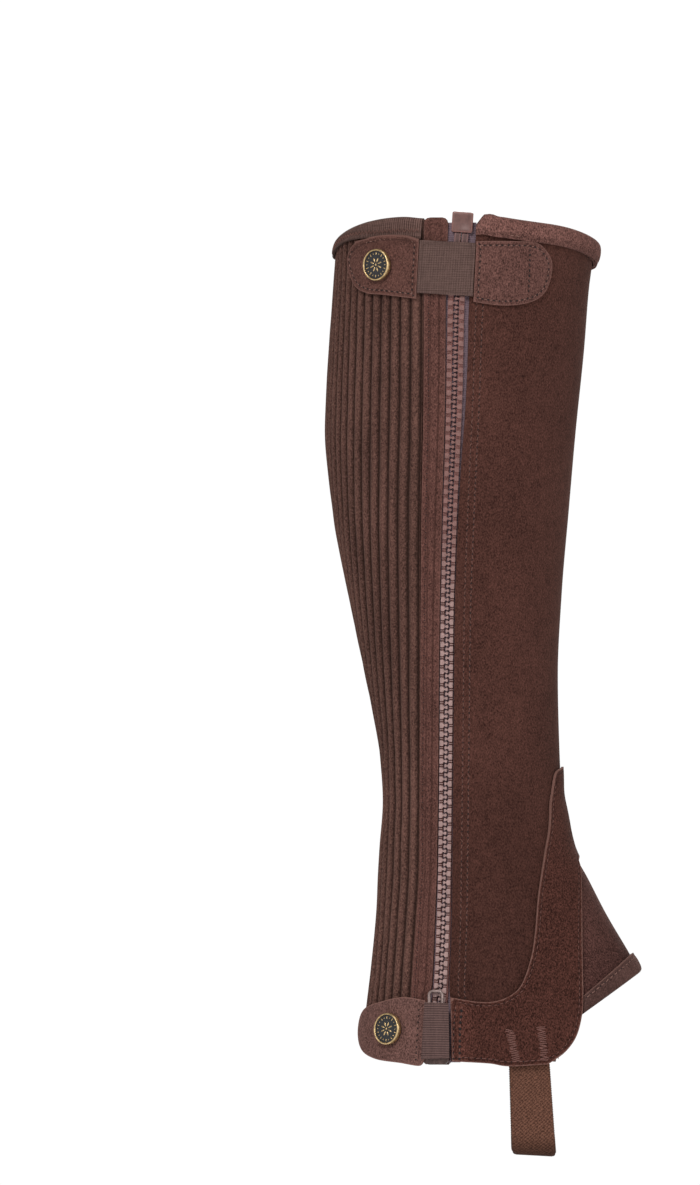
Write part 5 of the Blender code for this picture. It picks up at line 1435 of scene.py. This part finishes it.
def make_foot_strap():
    """The elastic loop under the foot, with thread loops along both edges."""
    shares = (0.0, 0.02, 0.05, 0.1, 0.18, 0.3, 0.5, 0.7, 0.82, 0.9, 0.95, 0.98, 1.0)
    columns = len(shares)

    def column(share):
        aside = min(share, 1.0 - share) * STRAP_WIDTH
        corner = STRAP_ROUND - math.sqrt(max(0.0, STRAP_ROUND ** 2 - max(0.0, STRAP_ROUND - aside) ** 2))
        ends = []
        for inner, inset in ((False, STRAP_INSETS[0]), (True, STRAP_INSETS[1])):
            x = STRAP_REAR + STRAP_WIDTH * share
            side = []
            for z in (STRAP_TOP, STRAP_TOP - 10.0, STRAP_TOP - 20.0):
                angle = angle_at(x, z, inner)
                place = form(angle, z) - normals(angle, z) * inset
                side.append((place[1], z))
            ends.append(side)
        outer, inner = ends
        low = STRAP_BOTTOM + STRAP_CORNER + 1.2 * (1.0 - share) + corner
        arcs = []
        for side, turn in ((outer[-1][0], -1), (inner[-1][0], 1)):
            centre = side - turn * STRAP_CORNER
            steps = [math.radians(7.5 * i) for i in range(13)]
            arcs.append([
                (centre + turn * STRAP_CORNER * math.cos(t), low - STRAP_CORNER * math.sin(t)) for t in steps
            ])
        line = outer + arcs[0] + arcs[1][::-1] + inner[::-1]
        run = np.concatenate([[0.0], np.cumsum([math.dist(a, b) for a, b in zip(line, line[1:])])])
        samples = np.linspace(0.0, run[-1], 110)
        return np.stack([np.interp(samples, run, [p[i] for p in line]) for i in range(2)], axis=1), samples

    grid = [column(share) for share in shares]
    outside, inside, uv = [], [], []
    for i, (line, run) in enumerate(grid):
        share = shares[i]
        padded = np.vstack([line[:1], line, line[-1:]])
        along = padded[2:] - padded[:-2]
        along /= np.linalg.norm(along, axis=1, keepdims=True)
        out = np.stack([along[:, 1], -along[:, 0]], axis=1)
        drop = np.clip((STRAP_TOP - line[:, 1]) / (STRAP_TOP - STRAP_BOTTOM), 0.0, 1.0)
        x = STRAP_REAR + STRAP_LEAN * drop + (STRAP_WIDTH + STRAP_WIDENING * drop) * share
        thin = 0.25 if i in (0, columns - 1) else 0.0
        outside.append(np.column_stack([x, line - out * thin]))
        inside.append(np.column_stack([x, line - out * (ELASTIC - thin)]))
        uv.append(np.column_stack([np.full(len(line), share * STRAP_WIDTH), run]))
    rows = len(outside[0])
    points = np.vstack(outside + inside)
    places = np.vstack(uv + uv)
    total = columns * rows
    cells = [(i * rows + j, (i + 1) * rows + j) for i in range(columns - 1) for j in range(rows - 1)]
    faces = []
    for a, b in cells:
        faces += [(a, b, b + 1, a + 1), (total + a, total + a + 1, total + b + 1, total + b)]
    for j in range(rows - 1):
        k = (columns - 1) * rows + j
        faces += [(j, j + 1, total + j + 1, total + j), (k, total + k, total + k + 1, k + 1)]
    for a, b in cells[::rows - 1]:
        c, d = a + rows - 1, b + rows - 1
        faces += [(a, total + a, total + b, b), (c, d, total + d, total + c)]
    mesh = mesh_from("elastic_foot_strap", points, faces)
    put_uv(mesh, places)
    outward(mesh)
    strap = new_piece("elastic_foot_strap", mesh, "strap")
    finish_piece(strap, "foot_strap")
    loops = Sewing("foot_strap_selvedge", 15)
    shape = capsule(1.25, 0.36)
    for index, side in ((0, -1.0), (columns - 1, 1.0)):
        outer, inner = outside[index], inside[index]
        run = run_along(outer)
        for distance in np.arange(0.6, run[-1] - 0.6, 1.15):
            place, ahead = (
                np.array([np.interp(at, run, (outer[:, i] + inner[:, i]) / 2) for i in range(3)])
                for at in (distance, distance + 0.6)
            )
            along = (ahead - place) / np.linalg.norm(ahead - place)
            out = np.array([side, 0.0, 0.0])
            across = np.cross(along, out)
            loops.add(shape, place - out * 0.1, across * 0.9 + along * 0.45, out, 0)
    edge = loops.make("thread_strap")


# ---------------------------------------------------------------- zip and studs

def zip_frame(z, lift):
    def place(height):
        angle = angle_at(read(ZIP, height), height)
        return Vector(form(angle, height) + normals(angle, height) * lift)

    up = (place(z + 4.0) - place(z - 4.0)).normalized()
    out = Vector(normals(angle_at(read(ZIP, z), z), z))
    across = up.cross(out).normalized()
    out = across.cross(up)
    return Matrix.Translation(place(z)) @ Matrix((across, up, out)).transposed().to_4x4()


def make_tapes():
    foot = OUTER_FOOT - 0.5
    mouth = SLIDER_TOP - 8.0
    box_foot = BOX_MIDDLE - BOX_HEIGHT / 2 + 0.7

    def inner_edge(z, side):
        x = read(ZIP, z) + side * 0.03
        if z > box_foot:
            x += side * (BOX_WIDTH / 2 - 1.0)
        if z < mouth:
            x += side * 1.6
        return angle_at(x, z)

    def outer_edge(z, side):
        reach = TAPE_WIDTH
        if z > TAPE_STEP:
            reach = read(ZIP, z, 2) + 0.1
        return angle_at(read(ZIP, z) + side * reach, z)

    levels = heights(foot, mouth - 0.3) + heights(mouth + 0.3, TAPE_STEP - 0.4)
    levels += [TAPE_STEP + 0.4, box_foot - 0.1, box_foot + 0.1, TAPE_TOP]
    for name, node, side in (("tape_rear", "zip_tape_rear", -1), ("tape_front", "zip_tape_front", 1)):
        outline = [(inner_edge(z, side), z) for z in levels]
        outline += [(outer_edge(z, side), z) for z in levels[::-1]]
        tape = shell(name, node, outline, TAPE_LIFT, -TAPE, "tape", bevel=0.0, du=1.5)
        state_sheet(tape, ["suede_zip_strip" if side < 0 else "suede_leg_panel"])


def tooth_shape():
    """A moulded tooth: a block on the tape, a neck and a round head; X runs from the outer end inward."""
    half = [
        (0.0, 1.15), (0.2, 1.38), (1.4, 1.42), (1.85, 1.0), (2.15, 0.48), (2.5, 0.38), (2.75, 0.52),
        (2.95, 0.76), (3.3, 0.88), (3.62, 0.78), (3.86, 0.42),
    ]
    ring = half + [(x, -y) for x, y in half[::-1]]
    points = []
    for height, share in ((0.0, 1.0), (1.85, 1.0), (2.1, 0.82)):
        for x, y in ring:
            sunk = 0.3 if x > 2.0 and height else 0.0
            points.append((1.9 + (x - 1.9) * (1 - (1 - share) * 0.5), y * share, height - sunk))
    count = len(ring)
    faces = ring_faces(3, count)
    top = 2 * count
    faces.append(cap(0, count))
    for i in range(len(half) - 1):
        faces.append((top + i, top + count - 1 - i, top + count - 2 - i, top + i + 1))
    return np.array(points), faces


def bar_shape(length, width, height):
    corners = [(x, y, z) for x in (0.0, length) for y in (-width / 2, width / 2) for z in (0.0, height)]
    faces = [(0, 1, 3, 2), (4, 6, 7, 5), (0, 4, 5, 1), (2, 3, 7, 6), (1, 5, 7, 3), (0, 2, 6, 4)]
    return np.array(corners), faces


def chain_half(z):
    return min(read(ZIP, z, 2) - LAY_GAP, CHAIN_HALF_WIDTH)


def make_teeth():
    """Teeth that mesh on the centre line, thin links between them, and a corded bead behind them."""
    points, faces, kinds = [], [], []

    def add(shape, base, shift, side, kind, widening):
        start = sum(len(part) for part in points)
        local = (shape[0] + np.array([shift, 0.0, 0.0])) * np.array([widening, 1.0, 1.0])
        if side > 0:
            local = local * np.array([-1.0, 1.0, 1.0])
        points.append(np.array([base @ Vector(p) for p in local]))
        faces.extend(tuple(i + start for i in face) for face in shape[1])
        kinds.extend([kind] * len(shape[1]))

    tooth, link = tooth_shape(), bar_shape(1.7, 0.42, 1.5)
    for index in range(int((CHAIN_TOP - CHAIN_END) / TOOTH_PITCH)):
        for side in (-1, 1):
            z = CHAIN_END + FIRST_TOOTH + index * TOOTH_PITCH + (TOOTH_PITCH / 2 if side > 0 else 0.0)
            widening = (chain_half(z) - 0.05) / TOOTH_REACH if z > TEETH_WIDEN_ABOVE else 1.0
            if z < CHAIN_TOP - 1.5:
                add(tooth, zip_frame(z, CHAIN_BACK), -TOOTH_REACH, side, 0, widening)
            if z + TOOTH_PITCH / 2 < CHAIN_TOP - 0.6:
                add(link, zip_frame(z + TOOTH_PITCH / 2, CHAIN_BACK), -TOOTH_REACH, side, 0, widening)
    levels = heights(CHAIN_END + 0.3, CHAIN_TOP - 0.3, 1.1)
    for side in (-1, 1):
        start = sum(len(part) for part in points)
        for index, z in enumerate(levels):
            base = zip_frame(z, CHAIN_BACK)
            half = chain_half(z) - 0.05
            swell = 0.07 if index % 2 else -0.07
            ring = [
                (half, 0.0), (half, 0.5 + swell), (half - 0.3, 0.7 + swell), (2.6, 0.8 + swell), (1.4, 0.75),
                (1.4, 0.0),
            ]
            points.append(np.array([base @ Vector((side * x, 0.0, y)) for x, y in ring]))
        count = len(ring)
        faces += ring_faces(len(levels), count, start, turned=True)
        faces += [cap(start, count, True), cap(start + (len(levels) - 1) * count, count)]
    kinds += [1] * (len(faces) - len(kinds))
    mesh = mesh_from("zip_teeth", np.vstack(points), faces, kinds, smooth=False)
    outward(mesh)
    teeth = new_piece("zip_teeth", mesh, "teeth", "bead")
    bevel = teeth.modifiers.new("moulded", "BEVEL")
    bevel.width = 0.1 * MM
    bevel.segments = 1
    bevel.limit_method = "ANGLE"
    bevel.angle_limit = math.radians(50)
    finish_piece(teeth, "zip_chain")


def block(name, node, size, place, radius, paint, groove=0.0):
    """A moulded block with rounded edges; groove sinks the middle of its face."""
    solid = bmesh.new()
    bmesh.ops.create_cube(solid, size=1.0)
    for vert in solid.verts:
        vert.co = Vector((vert.co.x * size[0], vert.co.y * size[1], vert.co.z * size[2])) * MM
    bmesh.ops.bevel(
        solid, geom=solid.edges[:] + solid.verts[:], offset=radius * MM, segments=4, profile=0.6,
        affect="EDGES",
    )
    if groove:
        top = max(solid.faces, key=lambda face: face.calc_center_median().z)
        bmesh.ops.inset_region(solid, faces=[top], thickness=0.5 * MM, depth=0.0)
        bmesh.ops.inset_region(solid, faces=[top], thickness=0.5 * MM, depth=-groove * MM)
    mesh = bpy.data.meshes.new(name)
    solid.to_mesh(mesh)
    solid.free()
    mesh.shade_smooth()
    piece = new_piece(name, mesh, paint)
    matrix = place.copy()
    matrix.translation = matrix.translation * MM
    piece.matrix_world = matrix
    return finish_piece(piece, node)


def make_zip_ends():
    size = (BOX_WIDTH, BOX_HEIGHT, BOX_THICK)
    block("retainer_box", "zip_box", size, zip_frame(BOX_MIDDLE, BOX_LIFT), 1.1, "box", 0.3)
    box_foot = BOX_MIDDLE - BOX_HEIGHT / 2
    length = box_foot - SEAM - PIN_BOTTOM
    for name, node, side in (("pin_rear", "zip_pin_rear", -1), ("pin_front", "zip_pin_front", 1)):
        place = zip_frame(PIN_BOTTOM + length / 2, CHAIN_BACK + PIN_THICK / 2)
        place = place @ Matrix.Translation((side * (PIN_WIDTH / 2 + 0.25), 0.0, 0.0))
        block(name, node, (PIN_WIDTH, length, PIN_THICK), place, 0.6, "pin", 0.12)


def make_pull():
    half, corner, bend = PULL_WIDTH / 2, 2.0, 9
    corners = [
        (half, 0.0, -90.0, 1.2), (half, PULL_LENGTH, 0.0, corner),
        (-half, PULL_LENGTH, 90.0, corner), (-half, 0.0, 180.0, 1.2),
    ]
    points = []
    for x, y, start, radius in corners:
        centre_x = x - math.copysign(radius, x)
        centre_y = y + (radius if y == 0.0 else -radius)
        for i in range(bend):
            turn = math.radians(start + 90.0 * i / (bend - 1))
            points.append((centre_x + radius * math.cos(turn), centre_y + radius * math.sin(turn)))
    curve = bpy.data.curves.new("pull_loop", "CURVE")
    curve.dimensions = "3D"
    curve.bevel_depth = PULL_WIRE * MM
    curve.bevel_resolution = 5
    line = curve.splines.new("POLY")
    line.points.add(len(points) - 1)
    for point, (x, y) in zip(line.points, points):
        point.co = (x * MM, y * MM, 0.0, 1.0)
    line.use_cyclic_u = True
    curve.materials.append(PAINTS["pull"])
    pull = bpy.data.objects.new("pull_loop", curve)
    bpy.context.scene.collection.objects.link(pull)
    matrix = zip_frame(PULL_AXIS, PULL_LIFT)
    matrix.translation = matrix.translation * MM
    pull.matrix_world = matrix
    finish_piece(pull, "zip_pull", "zip_pull")


def make_stud(name, node, place, step):
    """A turned cap with a dark face, a ring of beads and an eight-petalled rosette."""
    angle = angle_at(*place)
    lift = TAB_LIFT + TAB + step + LAY_GAP
    out = Vector(normals(angle, place[1]))
    matrix = out.to_track_quat("Z", "Y").to_matrix().to_4x4()
    matrix.translation = Vector(form(angle, place[1]) + normals(angle, place[1]) * lift) * MM
    radius, height = SNAP_RADIUS, SNAP_HEIGHT
    profile = [
        (0.30, 0.815), (0.55, 0.80), (0.78, 0.76), (0.86, 0.74), (0.875, 0.80), (0.885, 0.94), (0.905, 0.99),
        (0.93, 1.0), (0.955, 0.96), (0.98, 0.84), (1.0, 0.55), (1.0, 0.35), (0.96, 0.05), (0.94, 0.0),
    ]
    sides, dark, last = 64, 5, len(profile) - 1
    points = [
        (share * radius * x, share * radius * y, rise * height)
        for share, rise in profile for x, y in circle(sides)
    ]
    points.append((0.0, 0.0, 0.82 * height))
    faces = [(i, (i + 1) % sides, len(points) - 1) for i in range(sides)]
    faces += ring_faces(last + 1, sides) + [cap(last * sides, sides, True)]
    kinds = [1] * sides * dark + [0] * (sides * (last + 1 - dark) + 1)

    def bead(x, y, rise, along, across, up, turn):
        start, count = len(points), 10
        c, s = math.cos(turn), math.sin(turn)
        for level, share in ((0.0, 1.0), (0.55, 0.8), (0.9, 0.35)):
            for cosine, sine in circle(count):
                u, v = along * share * cosine, across * share * sine
                points.append((x + u * c - v * s, y + u * s + v * c, rise + up * level))
        faces.extend(ring_faces(3, count, start, turned=True))
        faces.extend([cap(start + 2 * count, count), cap(start, count, True)])

    for count, shift, reach, rise, lengths, across in (
        (20, 0.0, 0.70, 0.75, (0.42, 0.78), 0.26), (8, 0.5, 0.30, 0.795, (1.25, 1.25), 0.40),
    ):
        for i in range(count):
            turn = 2 * math.pi * (i + shift) / count
            x, y = radius * reach * math.cos(turn), radius * reach * math.sin(turn)
            bead(x, y, rise * height, lengths[i % 2], across, 0.34, turn)
    bead(0.0, 0.0, 0.81 * height, 0.62, 0.62, 0.42, 0.0)
    mesh = mesh_from(name, points, faces, kinds + [0] * (len(faces) - len(kinds)))
    mesh.set_sharp_from_angle(angle=math.radians(40))
    stud = new_piece(name, mesh, "brass", "stud_face")
    stud.matrix_world = matrix
    finish_piece(stud, node)


# ---------------------------------------------------------------- stage

# The photograph's view: its height at the leg in millimetres, and a long lens far out on the outer side
SENSOR_HEIGHT, SENSOR_WIDTH, CAMERA_AWAY, PHOTO_HEIGHT = 36.0, 60.0, 24000.0, 580.65
CAMERA_PLACE, FLOOR_LEVEL = (-0.0549, -24.03, -0.1595), -0.53


def make_stage():
    scene = bpy.context.scene
    solid = bmesh.new()
    bmesh.ops.create_grid(solid, x_segments=8, y_segments=8, size=6.0)
    mesh = bpy.data.meshes.new("floor")
    solid.to_mesh(mesh)
    solid.free()
    floor = bpy.data.objects.new("floor", mesh)
    floor.location.z = FLOOR_LEVEL
    paint = Paint("floor", roughness=0.9, specular=0.1)
    value = paint.noise(0.002, 2.0)
    paint.put(paint.shader.inputs["Base Color"], paint.mix(value, (0.93,) * 3, (0.97,) * 3))
    mesh.materials.append(paint.material)
    scene.collection.objects.link(floor)

    world = bpy.data.worlds.new("studio")
    world.use_nodes = True
    sky = world.node_tree
    background = sky.nodes["Background"]
    background.inputs["Color"].default_value = (1.0, 1.0, 1.0, 1.0)
    place = sky.nodes.new("ShaderNodeTexCoord")
    axes = sky.nodes.new("ShaderNodeSeparateXYZ")
    level = sky.nodes.new("ShaderNodeMath")
    level.operation = "ABSOLUTE"
    belt = sky.nodes.new("ShaderNodeMapRange")
    belt.interpolation_type = "SMOOTHSTEP"
    for socket, value in zip(belt.inputs[1:5], (0.1, 0.45, 1.02, 0.3)):
        socket.default_value = value
    sky.links.new(place.outputs["Generated"], axes.inputs[0])
    sky.links.new(axes.outputs["Z"], level.inputs[0])
    sky.links.new(level.outputs[0], belt.inputs[0])
    sky.links.new(belt.outputs[0], background.inputs["Strength"])
    scene.world = world

    lights = [
        ("key", (-0.7, -2.3, 1.3), (0.0, 0.0, -0.18), 0.9, 52.0),
        ("fill", (1.6, -1.8, 0.2), (0.0, 0.0, -0.2), 1.4, 14.0),
        ("top", (0.0, -0.3, 2.0), (0.0, 0.0, -0.2), 1.2, 12.0),
        ("back", (0.5, 2.3, 0.9), (0.0, 0.0, -0.2), 1.2, 40.0),
    ]
    for name, place, target, size, power in lights:
        light = bpy.data.lights.new(name, "AREA")
        light.shape = "DISK"
        light.size = size
        light.energy = power
        lamp = bpy.data.objects.new(name, light)
        lamp.location = place
        aim = Vector(target) - Vector(place)
        lamp.rotation_euler = aim.to_track_quat("-Z", "Y").to_euler()
        scene.collection.objects.link(lamp)

    camera = bpy.data.cameras.new("camera")
    camera.sensor_fit = "VERTICAL"
    camera.sensor_height = SENSOR_HEIGHT
    camera.sensor_width = SENSOR_WIDTH
    camera.lens = SENSOR_HEIGHT * CAMERA_AWAY / PHOTO_HEIGHT
    camera.clip_end = 100.0
    view = bpy.data.objects.new("camera", camera)
    view.location = CAMERA_PLACE
    view.rotation_euler = (math.radians(90.0), 0.0, 0.0)
    scene.collection.objects.link(view)
    scene.camera = view
    scene.view_settings.view_transform = "Standard"


make_stage()
make_leg_panel()
make_zip_strip()
make_rib_panel()
make_inner_strip()
make_grip_patch()
make_overlays()
make_gusset()
make_bindings()
make_straps()
make_foot_strap()
make_tapes()
make_teeth()
make_zip_ends()
make_pull()
make_stud("stud_top", "top_snap", TOP_SNAP, TOP_STEP)
make_stud("stud_bottom", "bottom_snap", BOTTOM_SNAP, HEM_STEP)
slider = bpy.data.objects["zip_slider"]
for index in range(len(slider.material_slots)):
    slider.material_slots[index].material = PAINTS["slider"]

bpy.context.view_layer.update()
